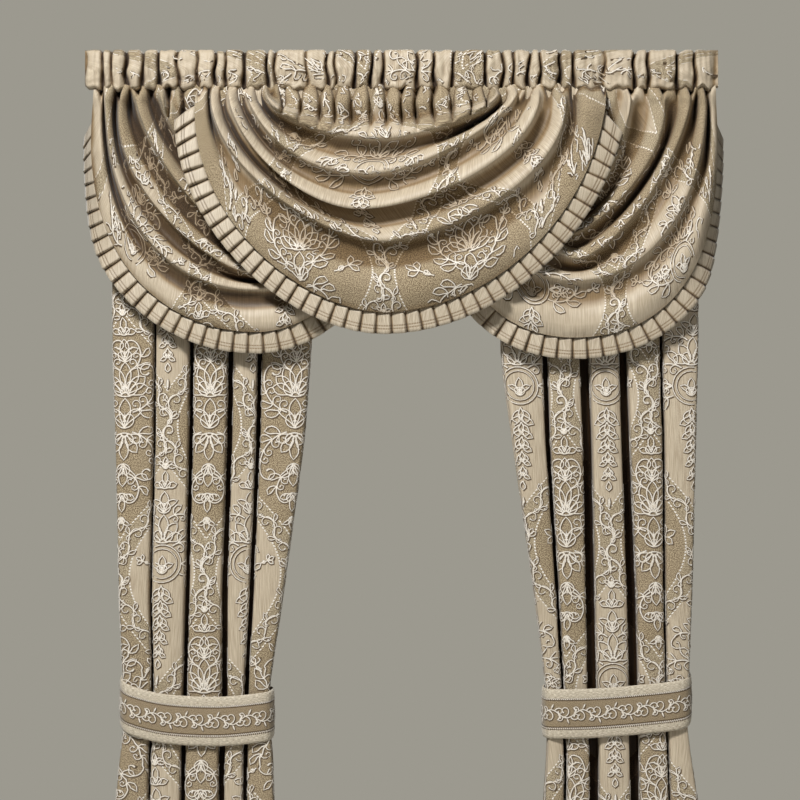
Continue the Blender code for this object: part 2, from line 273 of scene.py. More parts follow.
# Across one pleat: share of the pitch, height toward the room.
PLEAT_SHAPE = (
    (0.0, -0.3), (0.06, 0.1), (0.16, 0.35), (0.45, 0.66), (0.80, 1.0), (0.88, 0.95), (0.92, 0.5),
    (0.95, -0.4), (1.0, -0.5),
)

# Tails
Level = namedtuple("Level", "z outer gap_a gap_b gap_c gap_d inner deep")
LEFT_TAIL = [Level(*r) for r in (
    (-6, -590, -496, -420, -341, -277, -165, 24),
    (-90, -590, -497, -421, -342, -279, -168, 40),
    (-594, -586, -500, -425, -346, -287, -183, 51),
    (-784, -580, -501, -427, -349, -291, -197, 51),
    (-1104, -573, -509, -435, -359, -305, -241, 50),
    (-1284, -565, -505, -439, -359, -315, -268, 45),
    (-1344, -560, -505, -440, -361, -316, -271, 43),
    (-1424, -571, -511, -443, -365, -317, -262, 47),
    (-1520, -580, -512, -444, -366, -318, -259, 50),
    (-2134, -588, -515, -446, -370, -322, -254, 52),
)]
RIGHT_TAIL = [Level(*r) for r in (
    (-6, 606, 526, 444, 366, 284, 186, 24),
    (-90, 606, 526, 445, 367, 286, 188, 40),
    (-624, 601, 527, 449, 371, 291, 203, 51),
    (-784, 597, 531, 455, 377, 297, 225, 51),
    (-1104, 589, 533, 467, 383, 317, 271, 50),
    (-1284, 582, 537, 471, 387, 327, 293, 45),
    (-1344, 578, 537, 471, 388, 329, 297, 43),
    (-1424, 587, 541, 473, 391, 333, 296, 47),
    (-1520, 602, 543, 474, 391, 332, 289, 50),
    (-2134, 612, 546, 476, 392, 331, 284, 52),
)]
# How wide the dark gaps stand open, at the top and at the band
LEFT_GAPS = ((5, 6), (9, 10), (11, 13), (10, 10))
RIGHT_GAPS = ((8, 5), (15, 20), (19, 20), (16, 7))
TAIL_BACK = 69.0
# The outlines are left off inside the slots and behind the swags, where nothing shows them
SLOT_FROM = 50.0
TAIL_SHOWS = -400.0
# On the swags and the pocket they are left off where the cloth turns away into a fold
FACES_ROOM = -0.45
POCKET_SHOWS = -6.0
SEAM_SHOWS = -73.0
TAIL_TIED = -1344.0
TIED_OVER = 60.0
EDGE_HEIGHT = 0.55
# A level is rounded by taking the mean of the sections at these heights around it
LEVEL_ROUND = (-24.0, -12.0, 0.0, 12.0, 24.0)
# One flute from slot to slot: share of the way, pull of the slot's walls, height toward the room
FLUTE = (
    (0.0, 0.9, 0.04), (0.0, 0.0, 0.0), (0.0, 0.95, 0.04), (0.0, 1.0, 0.55), (0.02, 1.0, 0.86),
    (0.11, 1.0, 0.96), (0.34, 1.0, 1.0), (0.66, 1.0, 1.0), (0.89, 1.0, 0.95), (0.98, 1.0, 0.85),
    (1.0, 1.0, 0.55), (1.0, 0.95, 0.04), (1.0, 0.0, 0.0), (1.0, 0.9, 0.04),
)
FLUTES = 5

# Tie bands: share of the way across the tail, depth, middle height
Turn = namedtuple("Turn", "across deep z")
BAND_HIGH = 100.0
BAND_END_HIGH = 84.0
BAND_LEVEL = -1340.0
BAND_TAPER = 0.14
BAND_STEP = 0.004
# The band's face: its puff, how it thins to its two edges, and the groove beside each border
BAND_PUFF = 0.9
BAND_THIN = 2.6
GROOVE_DEEP = 0.7
GROOVE_AT = 0.60
GROOVE_WIDE = 0.05
VINE_LONG = 64.0
CORD_STITCH = 4
LEFT_BAND = [Turn(*r) for r in (
    (0.02, 98.0, -1306), (-0.03, 72.0, -1312), (-0.025, 34.0, -1320), (0.06, 13.0, -1332),
    (0.30, 11.0, -1348), (0.65, 11.0, -1353), (0.94, 13.0, -1346), (1.025, 34.0, -1342),
    (1.00, 70.0, -1338), (0.70, 76.0, -1334), (0.20, 77.0, -1322), (0.07, 92.0, -1312),
)]
RIGHT_BAND = [Turn(*r) for r in (
    (0.02, 98.0, -1298), (-0.03, 72.0, -1304), (-0.025, 34.0, -1312), (0.06, 13.0, -1320),
    (0.30, 11.0, -1328), (0.65, 11.0, -1336), (0.94, 13.0, -1338), (1.025, 34.0, -1338),
    (1.00, 70.0, -1334), (0.70, 76.0, -1328), (0.20, 77.0, -1314), (0.07, 92.0, -1304),
)]

# Damask repeat
REPEAT_WIDE = 350.0
REPEAT_HIGH = 600.0
LACE_HALF = 22.0
LACE_STEP = 5.0
LACE_WAVE = 62.0
LACE_SWING = 7.5
THREAD_STEEP = 0.24
THREAD_MOST = 6.0
RIM_WIDE = 2.0
# The brown outline lies offset to the side and down from its ivory thread, so it also paints the raised
# thread's shadow
RIM_PAINTED_SHADOW_ASIDE = (1.0, -1.2)
# How much of the cloth's painted fold shade the brown outlines and the ivory threads take
RIM_SHADE = 0.4
THREAD_SHADE = 0.75

# Painted shade in the recesses. How recesses are found: rows and columns around a point, the depth where
# they start and over how much they deepen, and the share of the painted shade that is left where the
# folds stand far apart
Recess = namedtuple("Recess", "rows columns start over open")
CENTER_RECESS = Recess(9, 9, 0.5, 8.0, 0.55)
LEFT_RECESS = Recess(9, 9, -1.0, 7.5, 0.9)
RIGHT_RECESS = Recess(9, 9, 1.0, 10.0, 0.6)
POCKET_RECESS = Recess(0, 9, 0.0, 7.0, 1.0)
TAIL_RECESS = Recess(0, 9, 0.5, 8.0, 1.0)
TRIM_RECESS = Recess(0, 4, 0.6, 3.2, 1.0)
NO_RECESS = Recess(0, 1, 1000.0, 1.0, 1.0)
SWAG_ROWS = 96
# Half of the rows between one fold and the next
HALF_FOLD_ROWS = SWAG_ROWS // 12
FOLD_NEAR = 34.0
FOLD_FAR = 66.0
# The weave runs evenly through small gathers: the flat cut's lengths are averaged over these neighbours
EVEN_ROWS = 3
EVEN_COLUMNS = 12
# A stroke breaks where the cloth steps further, or less far, between two of its points than this
STROKE_JUMP = 14.0
STROKE_BRIDGE = 0.55
REPEAT_ASIDE = 60.0


# Small helpers
def mix(a, b, t):
    return a + (b - a) * t


def smooth(t):
    t = max(0.0, min(1.0, t))
    return t * t * (3.0 - 2.0 * t)


def curve_through(values, t):
    """A smooth line through equally spaced rows, t from 0 to 1. The first and last row only guide it."""
    spot = max(0.0, min(t, 1.0)) * (len(values) - 3)
    i = min(int(spot), len(values) - 4)
    f = spot - i
    a, b, c, d = values[i:i + 4]
    return tuple(0.5 * (2 * q + (r - p) * f + (2 * p - 5 * q + 4 * r - s) * f * f
                        + (3 * q - p - 3 * r + s) * f ** 3) for p, q, r, s in zip(a, b, c, d))


def rumple(kind, x, z):
    """Small soft unevenness of the hung cloth, up to its rise either way."""
    return kind.rise * noise.noise(Vector((x / kind.wide, z / kind.long, kind.seed)))


def crease(table, x, wide):
    """How far the gathers at x are drawn in, from 0 to 1."""
    return max(g.depth * math.exp(-((x - g.x) / wide) ** 2) for g in table)


def strip_between(table, x):
    """The strip between two gathers: its puff, 0 at a gather and 1 over its middle, and its lean."""
    after = next((i for i, g in enumerate(table) if g.x > x), len(table))
    low = table[after - 1].x if after else table[0].x - END_STRIP
    high = table[after].x if after < len(table) else table[-1].x + END_STRIP
    across = 2.0 * max(0.0, min(1.0, (x - low) / (high - low))) - 1.0
    lean = across * (1.0 - across ** 8) * STRIP_LEANS[after % len(STRIP_LEANS)]
    return math.sqrt(max(0.0, 1.0 - abs(across) ** 3.2)), lean


def linear(hex_color):
    """An sRGB hex colour as linear red, green and blue."""
    parts = [int(hex_color[i:i + 2], 16) / 255.0 for i in (1, 3, 5)]
    return [c / 12.92 if c <= 0.04045 else ((c + 0.055) / 1.055) ** 2.4 for c in parts]


def averaged(grid, axis, reach):
    """A grid of numbers with each one averaged over its neighbours along one axis."""
    wide = numpy.take(grid, range(-reach, grid.shape[axis] + reach), axis, mode="clip")
    sums = numpy.cumsum(numpy.insert(wide, 0, 0.0, axis), axis)
    high = numpy.take(sums, range(2 * reach + 1, sums.shape[axis]), axis)
    low = numpy.take(sums, range(sums.shape[axis] - 2 * reach - 1), axis)
    return (high - low) / (2 * reach + 1)


# Cloth
class Cloth:
    """A hung sheet: its points, and where each of them lies on the flat cut, in millimetres."""

    def __init__(self, place, columns, rows, recess):
        self.points = [[Vector(place(i / columns, j / rows)) for i in range(columns + 1)]
                       for j in range(rows + 1)]
        middle = columns // 2
        self.across = []
        for row in self.points:
            run = [0.0]
            for a, b in zip(row, row[1:]):
                run.append(run[-1] + (b - a).length)
            self.across.append([r - run[middle] for r in run])
        self.down = [[0.0] for _ in range(columns + 1)]
        for low, high in zip(self.points, self.points[1:]):
            for run, a, b in zip(self.down, low, high):
                run.append(run[-1] + (b - a).length)
        self.across = averaged(numpy.array(self.across), 0, EVEN_ROWS).tolist()
        self.down = averaged(numpy.array(self.down), 0, EVEN_COLUMNS).tolist()
        self.shade = self.recesses(recess)

    def recesses(self, recess):
        """How deep each point lies between the folds around it, from 0 to 1: the painted shade that
        darkens the colour there.
        """
        depth = numpy.array([[p.y for p in row] for row in self.points])
        around = depth
        for axis, reach in ((0, recess.rows), (1, recess.columns)):
            around = averaged(around, axis, reach)
        shade = numpy.clip((depth - around - recess.start) / recess.over, 0.0, 1.0)
        if recess.open < 1.0:
            half, last = HALF_FOLD_ROWS, len(self.points) - 1
            flat = numpy.array([[(p.x, p.z) for p in row] for row in self.points])
            high = numpy.take(flat, range(-half, last + 1 - half), 0, mode="clip")
            low = numpy.take(flat, range(half, last + 1 + half), 0, mode="clip")
            apart = numpy.hypot(*numpy.moveaxis(low - high, 2, 0))
            shade *= numpy.interp(apart, (FOLD_NEAR, FOLD_FAR), (1.0, recess.open))
        return shade.tolist()

    def flat(self, i, j):
        return self.across[j][i], -self.down[i][j]

    def size(self):
        wide = max(r[-1] - r[0] for r in self.across)
        return wide, max(run[-1] for run in self.down)

    def area(self):
        total = 0.0
        for low, high in zip(self.points, self.points[1:]):
            for a, b, c, d in zip(low, low[1:], high, high[1:]):
                total += ((b - a).cross(c - a).length + (b - d).cross(c - d).length) / 2.0
        return total

    def at(self, s, t):
        """The point, front normal and shade at a place on the flat cut, or None off the cloth."""
        i, j, f = len(self.down) // 2, 0, 0.0
        for _ in range(4):
            run = self.down[i]
            j = bisect_right(run, -t) - 1
            if j < 0 or j >= len(run) - 1:
                return None
            run = self.across[j]
            i = bisect_right(run, s) - 1
            if i < 0 or i >= len(run) - 1:
                return None
            f = (s - run[i]) / (run[i + 1] - run[i])
        run = self.down[i]
        g = max(0.0, min(1.0, (-t - run[j]) / max(run[j + 1] - run[j], 0.01)))
        a, b = self.points[j][i], self.points[j][i + 1]
        c, d = self.points[j + 1][i], self.points[j + 1][i + 1]
        high, low = a.lerp(b, f), c.lerp(d, f)
        normal = (low - high).cross(b - a)
        if normal.length < 1e-9:
            return None
        return high.lerp(low, g), normal.normalized(), self.shade[j][i]


def mesh_object(name, bm, materials):
    """Makes the mesh an object of the scene and gives it its materials."""
    mesh = bpy.data.meshes.new(name)
    bm.to_mesh(mesh)
    bm.free()
    obj = bpy.data.objects.new(name, mesh)
    bpy.context.scene.collection.objects.link(obj)
    for material in materials:
        mesh.materials.append(material)
    return obj


def sheet_object(name, cloth, thick, material, shift):
    """Cuts a grid, hangs each of its points, and gives the sheet its UV map and its thickness."""
    rows, columns = len(cloth.points) - 1, len(cloth.points[0]) - 1
    bm = bmesh.new()
    layer = bm.loops.layers.uv.new("flat cut")
    # The fold shade attribute carries the painted shade of the recesses to the material
    shade = bm.verts.layers.float.new("fold shade")
    bmesh.ops.create_grid(bm, x_segments=columns, y_segments=rows, size=0.5)
    spots = {}
    for vert in bm.verts:
        i = round((vert.co.x + 0.5) * columns)
        j = round((0.5 - vert.co.y) * rows)
        spots[vert] = (i, j)
    for face in bm.faces:
        face.smooth = True
        for loop in face.loops:
            s, t = cloth.flat(*spots[loop.vert])
            loop[layer].uv = ((s - shift[0]) * MM, (t - shift[1]) * MM)
    for vert, (i, j) in spots.items():
        vert.co = cloth.points[j][i] * MM
        vert[shade] = cloth.shade[j][i]
    obj = mesh_object(name, bm, [material])
    solid = obj.modifiers.new("thickness", "SOLIDIFY")
    solid.thickness = thick
    solid.offset = -1.0
    solid.use_even_offset = False
    return obj


Stroke = namedtuple("Stroke", "points wide shape")


def width_at(stroke, share):
    """A stroke's width along its length: an even line, a pointed leaf, or a scroll with a round bud."""
    if stroke.shape == "leaf":
        return stroke.wide * max(0.12, math.sin(math.pi * share) ** 0.7)
    if stroke.shape == "scroll":
        return stroke.wide * (1.35 if share > 0.93 else 1.0 - 0.4 * share)
    return stroke.wide


def strips(bm, runs, rim, finish):
    """Lays a raised strip along each run of spots. One long strip is made and then cut up."""
    lanes = 1 if rim else 2
    spots = [(run, i) for run in runs for i in range(len(run))]
    count = len(spots) - 1
    layer, shade = bm.loops.layers.uv.verify(), bm.verts.layers.float["fold shade"]
    made = bmesh.ops.create_grid(bm, x_segments=count, y_segments=lanes, size=0.5)
    places = [(round((v.co.x + 0.5) * count), round((0.5 - v.co.y) * lanes)) for v in made["verts"]]
    joins = []
    faces = {f for v in made["verts"] for f in v.link_faces}
    for face in sorted(faces, key=lambda f: f.calc_center_median().x):
        face.smooth = True
        face.material_index = finish
        for loop in face.loops:
            loop[layer].uv = ((loop.vert.co.x + 0.5) * count * 0.005, loop.vert.co.y + 0.5)
        run, i = spots[int((face.calc_center_median().x + 0.5) * count)]
        if i == len(run) - 1:
            joins.append(face)
    for vert, (column, lane) in zip(made["verts"], places):
        run, i = spots[column]
        center, normal, deep, below, wide = run[i]
        # The threads take part of the cloth's painted fold shade, the brown outlines less
        vert[shade] = deep * (RIM_SHADE if rim else THREAD_SHADE)
        side = (run[min(i + 1, len(run) - 1)][0] - run[max(i - 1, 0)][0]).cross(normal).normalized()
        # The brown outline is laid at its offset point, as the raised thread's painted shadow
        if rim:
            center = below
        up = 0.3 if rim or lane != 1 else 0.5 + THREAD_STEEP * min(wide, THREAD_MOST)
        vert.co = (center + side * (lane / lanes - 0.5) * (wide + rim) + normal * up) * MM
    bmesh.ops.delete(bm, geom=joins, context="FACES")


# The damask's drawing, in millimetres on the flat repeat: a generic ogee pattern of the maker's own
def curl(x, y, angle, size, hand, wide=3.2):
    """A scroll that leaves a point and winds inward. hand is 1 to the left and -1 to the right."""
    points, heading = [(x, y)], math.radians(angle)
    steps = max(6, int(size / 4.8))
    for k in range(steps):
        t = (k + 0.5) / steps
        heading += hand * (0.35 + 1.5 * t) * 4.9 / steps
        x += math.cos(heading) * size / steps
        y += math.sin(heading) * size / steps
        points.append((x, y))
    return Stroke(points, wide, "scroll")


def stem(x, y, angle, length, bend):
    """A stem that turns by bend degrees along its length, and its direction at each point."""
    points, heading = [(x, y)], math.radians(angle)
    steps = max(4, int(length / 6.5))
    ways = [heading]
    for _ in range(steps):
        heading += math.radians(bend) / steps
        x += math.cos(heading) * length / steps
        y += math.sin(heading) * length / steps
        points.append((x, y))
        ways.append(heading)
    return points, ways


def leaf(x, y, angle, length, wide, bend=0.0):
    """A small plump leaf, filled with thread, that turns by bend degrees."""
    return Stroke(stem(x, y, angle - bend / 2.0, length, bend)[0], wide, "leaf")


def petal(x, y, angle, length, wide, bend=0.0, thread=3.2):
    """A rounded petal drawn as one outline, up one side and down the other."""
    points, ways = stem(x, y, angle - bend / 2.0, length, bend)
    sides = ([], [])
    for k, ((px, py), way) in enumerate(zip(points, ways)):
        half = wide / 2.0 * math.sin(math.pi * (k / (len(points) - 1)) ** 1.35) ** 0.8
        for side, hand in zip(sides, (1, -1)):
            side.append((px - math.sin(way) * half * hand, py + math.cos(way) * half * hand))
    return Stroke(sides[0] + sides[1][-2::-1], thread, "line")


def line(points, wide=2.4):
    return Stroke(points, wide, "line")


def mirrored(strokes):
    return strokes + [Stroke([(-x, y) for x, y in s.points], s.wide, s.shape) for s in strokes]


def circle(x, y, r, steps=22, wide=2.8):
    turns = [2 * math.pi * k / steps for k in range(steps + 1)]
    return line([(x + r * math.cos(turn), y + r * math.sin(turn)) for turn in turns], wide)


def frond(x, y, angle, length, bend, lobes, size):
    """A leafy scroll: petals on its outer side, curls on its inner side, and a wound end."""
    points, ways = stem(x, y, angle, length, bend)
    hand = 1 if bend > 0 else -1
    strokes = [line(points, 3.8)]
    for n in range(lobes):
        i = int((n + 0.7) / (lobes + 0.4) * (len(points) - 1))
        way = math.degrees(ways[i])
        grown = size * (1.0 - 0.25 * n / lobes)
        strokes.append(petal(*points[i], way - 40 * hand, grown, grown * 0.44, 70 * hand))
        strokes.append(curl(*points[i], way + 24 * hand, grown * 1.25, hand, 3.2))
    strokes.append(curl(*points[-1], math.degrees(ways[-1]), size * 2.0, hand, 3.8))
    return strokes


def palmette(x, y, angle, size, count=5):
    """A shell of rounded petals, the middle one longest, on two scrolls."""
    strokes = []
    for n in range(count):
        off = 2.0 * n / (count - 1) - 1.0
        way = math.radians(angle + 66 * off)
        strokes.append(petal(x + math.cos(way) * size * 0.1, y + math.sin(way) * size * 0.1,
                             angle + 66 * off, size * (0.95 - 0.28 * abs(off)), size * 0.36,
                             30 * off))
    for hand in (1, -1):
        strokes.append(curl(x, y, angle + 96 * hand, size * 1.15, -hand, 3.6))
    return strokes


def lily(x, y, angle, size):
    """A lily: one upright petal between two that roll outward."""
    strokes = [petal(x, y, angle, size, size * 0.40), leaf(x, y, angle, size * 0.55, 4.0)]
    for hand in (1, -1):
        strokes.append(petal(x, y, angle + 40 * hand, size * 0.9, size * 0.28, 70 * hand))
        strokes.append(curl(x, y, angle + 88 * hand, size * 1.1, -hand, 3.4))
    return strokes


def spray(x, y, angle, size):
    """Three petals on a short stem between two curls."""
    points, ways = stem(x, y, angle, size * 0.6, 24)
    way = math.degrees(ways[-1])
    strokes = [line(points, 3.2)]
    for off in (-1, 0, 1):
        strokes.append(petal(*points[-1], way + 52 * off, size * (0.62 - 0.1 * abs(off)),
                             size * 0.26, 30 * off))
    for turn, hand in ((70, -1), (-80, 1)):
        strokes.append(curl(*points[1], way + turn, size * 0.6, hand, 3.0))
    return strokes


def satin_motif():
    """A crowned medallion with leafy scrolls at its sides and a pendant of nested scrolls."""
    strokes = [circle(0, 20, 38), circle(0, 20, 30, 20, 2.0)] + lily(0, 0, 90, 36)
    strokes += palmette(0, 62, 90, 54, 5) + lily(0, 122, 90, 44)
    strokes += palmette(0, 172, 90, 34, 3) + lily(0, 212, 90, 24)
    half = frond(20, 56, 40, 88, -110, 3, 34) + frond(36, 0, -30, 78, 104, 3, 33)
    half += [curl(39, 20, 46, 56, -1, 3.8), curl(39, 20, -46, 56, 1, 3.8), petal(42, 20, 0, 34, 15)]
    half += frond(10, 112, 44, 52, -80, 2, 26) + spray(112, 20, 4, 26)
    for k in range(5):
        y, reach = -30 - 30 * k, 58 - 6.5 * k
        half.append(curl(2, y, -4, reach, -1, 3.6))
        half.append(petal(2, y - 8, -48, reach * 0.55, reach * 0.24, 50))
    strokes += mirrored(half)
    strokes += [petal(0, -24 - 30 * k, -90, 26 - 1.5 * k, 11) for k in range(6)]
    return strokes + [leaf(0, 240, 90, 18, 6), leaf(0, -206, -90, 22, 7)]


def matte_motif():
    """A lily on a palmette, with flowering scrolls to both sides above and below."""
    strokes = palmette(0, 58, 90, 66, 7) + lily(0, -6, 90, 60) + palmette(0, -16, -90, 52, 5)
    strokes += lily(0, -78, -90, 46) + lily(0, 128, 90, 46) + palmette(0, 182, 90, 34, 3)
    strokes += palmette(0, -138, -90, 36, 3) + lily(0, -186, -90, 28) + lily(0, 222, 90, 24)
    half = frond(16, 26, 14, 100, 84, 4, 37) + frond(16, -14, -12, 100, -80, 4, 36)
    half += frond(12, 112, 20, 56, 90, 2, 30) + frond(12, -98, -18, 56, -90, 2, 30)
    half += spray(76, 6, 0, 50) + spray(70, 98, 40, 32) + spray(72, -96, -44, 32)
    return strokes + mirrored(half)


def lace_line(side, y):
    """Where the middle of the ogee lace stands at a height: side is -1 or 1."""
    return side * REPEAT_WIDE / 4.0 * (1.0 + math.cos(2.0 * math.pi * y / REPEAT_HIGH))


def lace():
    """A winding vine with scrolls and small petals along both curves of the ogee lace."""
    strokes = []
    for side in (-1, 1):
        spots, y = [], -REPEAT_HIGH / 2.0
        while y < REPEAT_HIGH / 2.0:
            x = lace_line(side, y)
            way = math.atan2(2.0, lace_line(side, y + 2.0) - x)
            spots.append((x, y, way))
            y += LACE_STEP * math.sin(way)
        last = len(spots) - 1
        waves = round(last * LACE_STEP / LACE_WAVE)
        vine = []
        for k, (x, y, way) in enumerate(spots):
            swing = LACE_SWING * math.sin(2.0 * math.pi * waves * k / last)
            vine.append((x + math.sin(way) * swing, y - math.cos(way) * swing))
        strokes.append(line(vine, 3.2))
        for n in range(2 * waves):
            k, hand = int((n + 0.5) / (2.0 * waves) * last), 1 if n % 2 == 0 else -1
            way = math.degrees(spots[k][2])
            strokes.append(curl(*vine[k], way - 20 * hand, 54, hand, 3.2))
            strokes.append(curl(*vine[k], way - 126 * hand, 28, -hand, 2.8))
            strokes.append(petal(*vine[k], way - 56 * hand, 18, 8, 30 * hand, 2.6))
    return strokes


def moved(stroke, across, down):
    return Stroke([(x + across, y + down) for x, y in stroke.points], stroke.wide, stroke.shape)


def repeat_strokes():
    """All the strokes of one repeat."""
    matte = [moved(s, REPEAT_WIDE / 2, REPEAT_HIGH / 2) for s in matte_motif()]
    return satin_motif() + matte + lace()


def runs_on(cloth, stroke, keep):
    """A stroke's stretches on the cloth: point, normal, shade, the point of its brown outline, set aside
    as its painted shadow, width.
    """
    run, last = [], len(stroke.points) - 1
    for i, (x, y) in enumerate(stroke.points):
        spot = cloth.at(x, y)
        joined = True
        if spot is not None and run:
            step, flat = (spot[0] - run[-1][0]).length, math.dist(stroke.points[i - 1], (x, y))
            joined = STROKE_BRIDGE * flat < step < STROKE_JUMP
        if spot is not None and keep(spot[0], spot[1]) and joined:
            below = cloth.at(x + RIM_PAINTED_SHADOW_ASIDE[0], y + RIM_PAINTED_SHADOW_ASIDE[1]) or spot
            run.append((*spot, below[0], width_at(stroke, i / last)))
        else:
            if len(run) > 2:
                yield run
            run = []
    if len(run) > 2:
        yield run


def drawn_cloth(name, cloth, strokes, keep):
    """Draws the strokes as raised ivory thread, with brown outline thread below and aside of each of
    them that also paints their shadow.
    """
    bm = bmesh.new()
    bm.verts.layers.float.new("fold shade")
    lines = [run for stroke in strokes for run in runs_on(cloth, stroke, keep)]
    strips(bm, lines, 0.0, 0)
    strips(bm, lines, RIM_WIDE, 1)
    return mesh_object(name, bm, [material_for("ivory"), material_for("rim")])


def repeated(strokes, cloth, shift):
    """The strokes of every repeat that reaches the cloth."""
    width, length = cloth.size()
    half = width / 2 + REPEAT_ASIDE
    for stroke in strokes:
        xs, ys = zip(*stroke.points)
        for c in range(-4, 5):
            for r in range(-5, 3):
                across, down = shift[0] + c * REPEAT_WIDE, shift[1] + r * REPEAT_HIGH
                beside = max(xs) + across > -half and min(xs) + across < half
                if beside and max(ys) + down > -length and min(ys) + down < 0.0:
                    yield moved(stroke, across, down)


# Swags
def side_point(fold, side, t):
    """A point of a fold in the drape's plane, from the seam at t 0 to its lowest point at t 1."""
    inward = 1.0 if fold.low_x > side.root else -1.0
    xs = (side.root, side.root + side.lean, fold.low_x - inward * side.flat, fold.low_x)
    zs = (SEAM_Z, SEAM_Z - side.fall, fold.low_z, fold.low_z)
    weights = ((1 - t) ** 3, 3 * (1 - t) ** 2 * t, 3 * (1 - t) * t ** 2, t ** 3)
    return sum(w * x for w, x in zip(weights, xs)), sum(w * z for w, z in zip(weights, zs))


def fold_point(fold, u):
    """A point of a fold, from its left root at u 0 to its right root at u 1."""
    if u <= 0.5:
        return side_point(fold, fold.left, 2.0 * u)
    return side_point(fold, fold.right, 2.0 - 2.0 * u)


def side_folds(rows, middle, hidden, outward):
    """The folds of a side swag. outward is -1 for the left swag and 1 for the right one."""
    folds = []
    for r in rows:
        shown = Side(middle + outward * r.half, outward * r.lean, r.fall, r.flat)
        other = Side(middle - outward * r.half * hidden, -outward * r.lean * hidden, r.fall,
                     r.flat * hidden)
        left, right = (shown, other) if outward < 0 else (other, shown)
        folds.append(Fold(middle, r.low_z, left, right, r.lift))
    return folds


# How strongly each fold is tucked up
CENTER_TUCKS = (0, 0.25, 0.25, 1.0, 0.35, 0, 0)
SIDE_TUCKS = (0, 0.3, 0.3, 0.3, 0.2, 0, 0)
LEFT_FOLDS = side_folds(LEFT_ROWS, LEFT_MIDDLE, LEFT_HIDDEN, -1)
RIGHT_FOLDS = side_folds(RIGHT_ROWS, RIGHT_MIDDLE, RIGHT_HIDDEN, 1)
SWAGS = {
    "center": Swag(CENTER_FOLDS, 19.0, 50.0, 55.0, False,
                   CENTER_TUCKS, CENTER_RECESS, (0.0, 330.0)),
    "left": Swag(LEFT_FOLDS, 15.0, 14.0, 90.0, True, SIDE_TUCKS, LEFT_RECESS, (60.0, 120.0)),
    "right": Swag(RIGHT_FOLDS, 15.0, 14.0, 90.0, True, SIDE_TUCKS, RIGHT_RECESS, (-90.0, 40.0)),
}


def crest(folds, k, u):
    """How far fold k stands out at u: its lift, or less where its neighbours are near."""
    here = fold_point(folds[k], u)
    near = [fold_point(folds[j], u) for j in (k - 1, k + 1) if 0 <= j < len(folds)]
    gap = min(math.dist(here, p) for p in near)
    return min(folds[k].lift, LIFT_SHARE * gap)


def seam_wobble(x, drop):
    """How far the gathers push the seam up or down at x."""
    return rumple(SEAM_WOBBLE, x, 0.0) * math.exp(-((drop - SEAM_DROP) / SEAM_OVER) ** 2)


def out_of_seam(swag, x, z, height, first):
    """A swag's y: flat at the seam, puffed out in a gathered skirt, and turned back at the ends."""
    drop = SEAM_Z - z
    cover = 1.0 if not swag.covered else smooth((abs(x) - COVER_HALF) / COVER_OVER)
    base = mix(swag.seam_out, swag.base_out, smooth(drop / swag.base_rise))
    if first and not swag.covered:
        sink = SINK_DEEP * math.exp(-(x / SINK_HALF) ** 2)
        base -= sink * math.exp(-((drop - SINK_DROP) / SINK_OVER) ** 2)
    fold = height * smooth(drop / mix(COVERED_RISE, FOLD_RISE, cover))
    lean = x + rumple(SKIRT_SWAY, x, z) * smooth(drop / SWAY_OVER)
    reach = SKIRT_FADE if first else SKIRT_FADE * SKIRT_SHORT
    full = SKIRT_FULL * reach if first else 0.0
    left = (1.0 - smooth((drop - full) / (reach - full))) * cover
    fade = smooth(drop / SKIRT_STARTS) * left
    wide = mix(*SKIRT_CREASE, smooth(drop / SKIRT_CREASE_OVER))
    puffed, askew = strip_between(SKIRT_GATHERS, lean)
    puff = SKIRT_OUT * (SKIRT_LEAST + puffed) + SKIRT_ASKEW * askew
    dip = SKIRT_DIP * crease(SKIRT_GATHERS, lean, wide) * left
    crinkle = rumple(SKIRT_CRINKLE, x, z) * fade
    turned = RETURN_BACK * smooth((abs(x) - RETURN_FROM) / RETURN_OVER)
    back = turned * smooth(drop / RETURN_DROP)
    soft = (rumple(SWAG_SOFT, x, z) + rumple(SWAG_FINE, x, z)) * smooth(drop / SOFT_OVER)
    return back - base - fold - puff * fade + dip - soft - crinkle


def swag_place(swag):
    """Where each point of the swag's grid hangs: u along the folds, v from the seam down to the hem."""
    last = len(swag.folds) - 1

    def place(u, v):
        k = min(int(v * last), last - 1)
        f = v * last - k
        table = FIRST_ROLL if k == 0 else HEM_ROLL if k == last - 1 else ROLL
        share, here, there = curve_through(table, f)
        (x, z), (x2, z2) = fold_point(swag.folds[k], u), fold_point(swag.folds[k + 1], u)
        gap = math.hypot(x2 - x, z2 - z)
        height = crest(swag.folds, k, u) * here + crest(swag.folds, k + 1, u) * there
        near = math.exp(-(SEAM_Z - mix(z, z2, share)) / VALLEY_FADE)
        if 0 < k < last - 1:
            valley = min(VALLEY_DEEP, VALLEY_SHARE * gap)
            height -= valley * near * math.sin(math.pi * f) ** 2
            slit = 1.0 - smooth((gap - SLIT_GAP) / SLIT_OVER)
            slit_deep = min(SLIT_DEEP, SLIT_SHARE * gap)
            height -= slit_deep * slit * math.exp(-((f - SLIT_AT) / SLIT_WIDE) ** 2)
        side = math.sin(math.pi * min(1.0, u * TUCK_STRETCH)) ** 2 if u < TUCK_END else 0.0
        under = math.exp(-((f - TUCK_AT) / TUCK_WIDE) ** 2) * swag.tucks[k] * side
        share -= TUCK_UP * under
        height -= TUCK_DEEP * under
        x, z = mix(x, x2, share), min(SEAM_Z, mix(z, z2, share))
        arch = (strip_between(SKIRT_GATHERS, x)[0] - ARCH_LEVEL) * ARCH_HIGH
        arch *= 1.0 - smooth((SEAM_Z - z) / ARCH_FADE)
        return x, out_of_seam(swag, x, z, height, k == 0), z + seam_wobble(x, -z) + arch
    return place


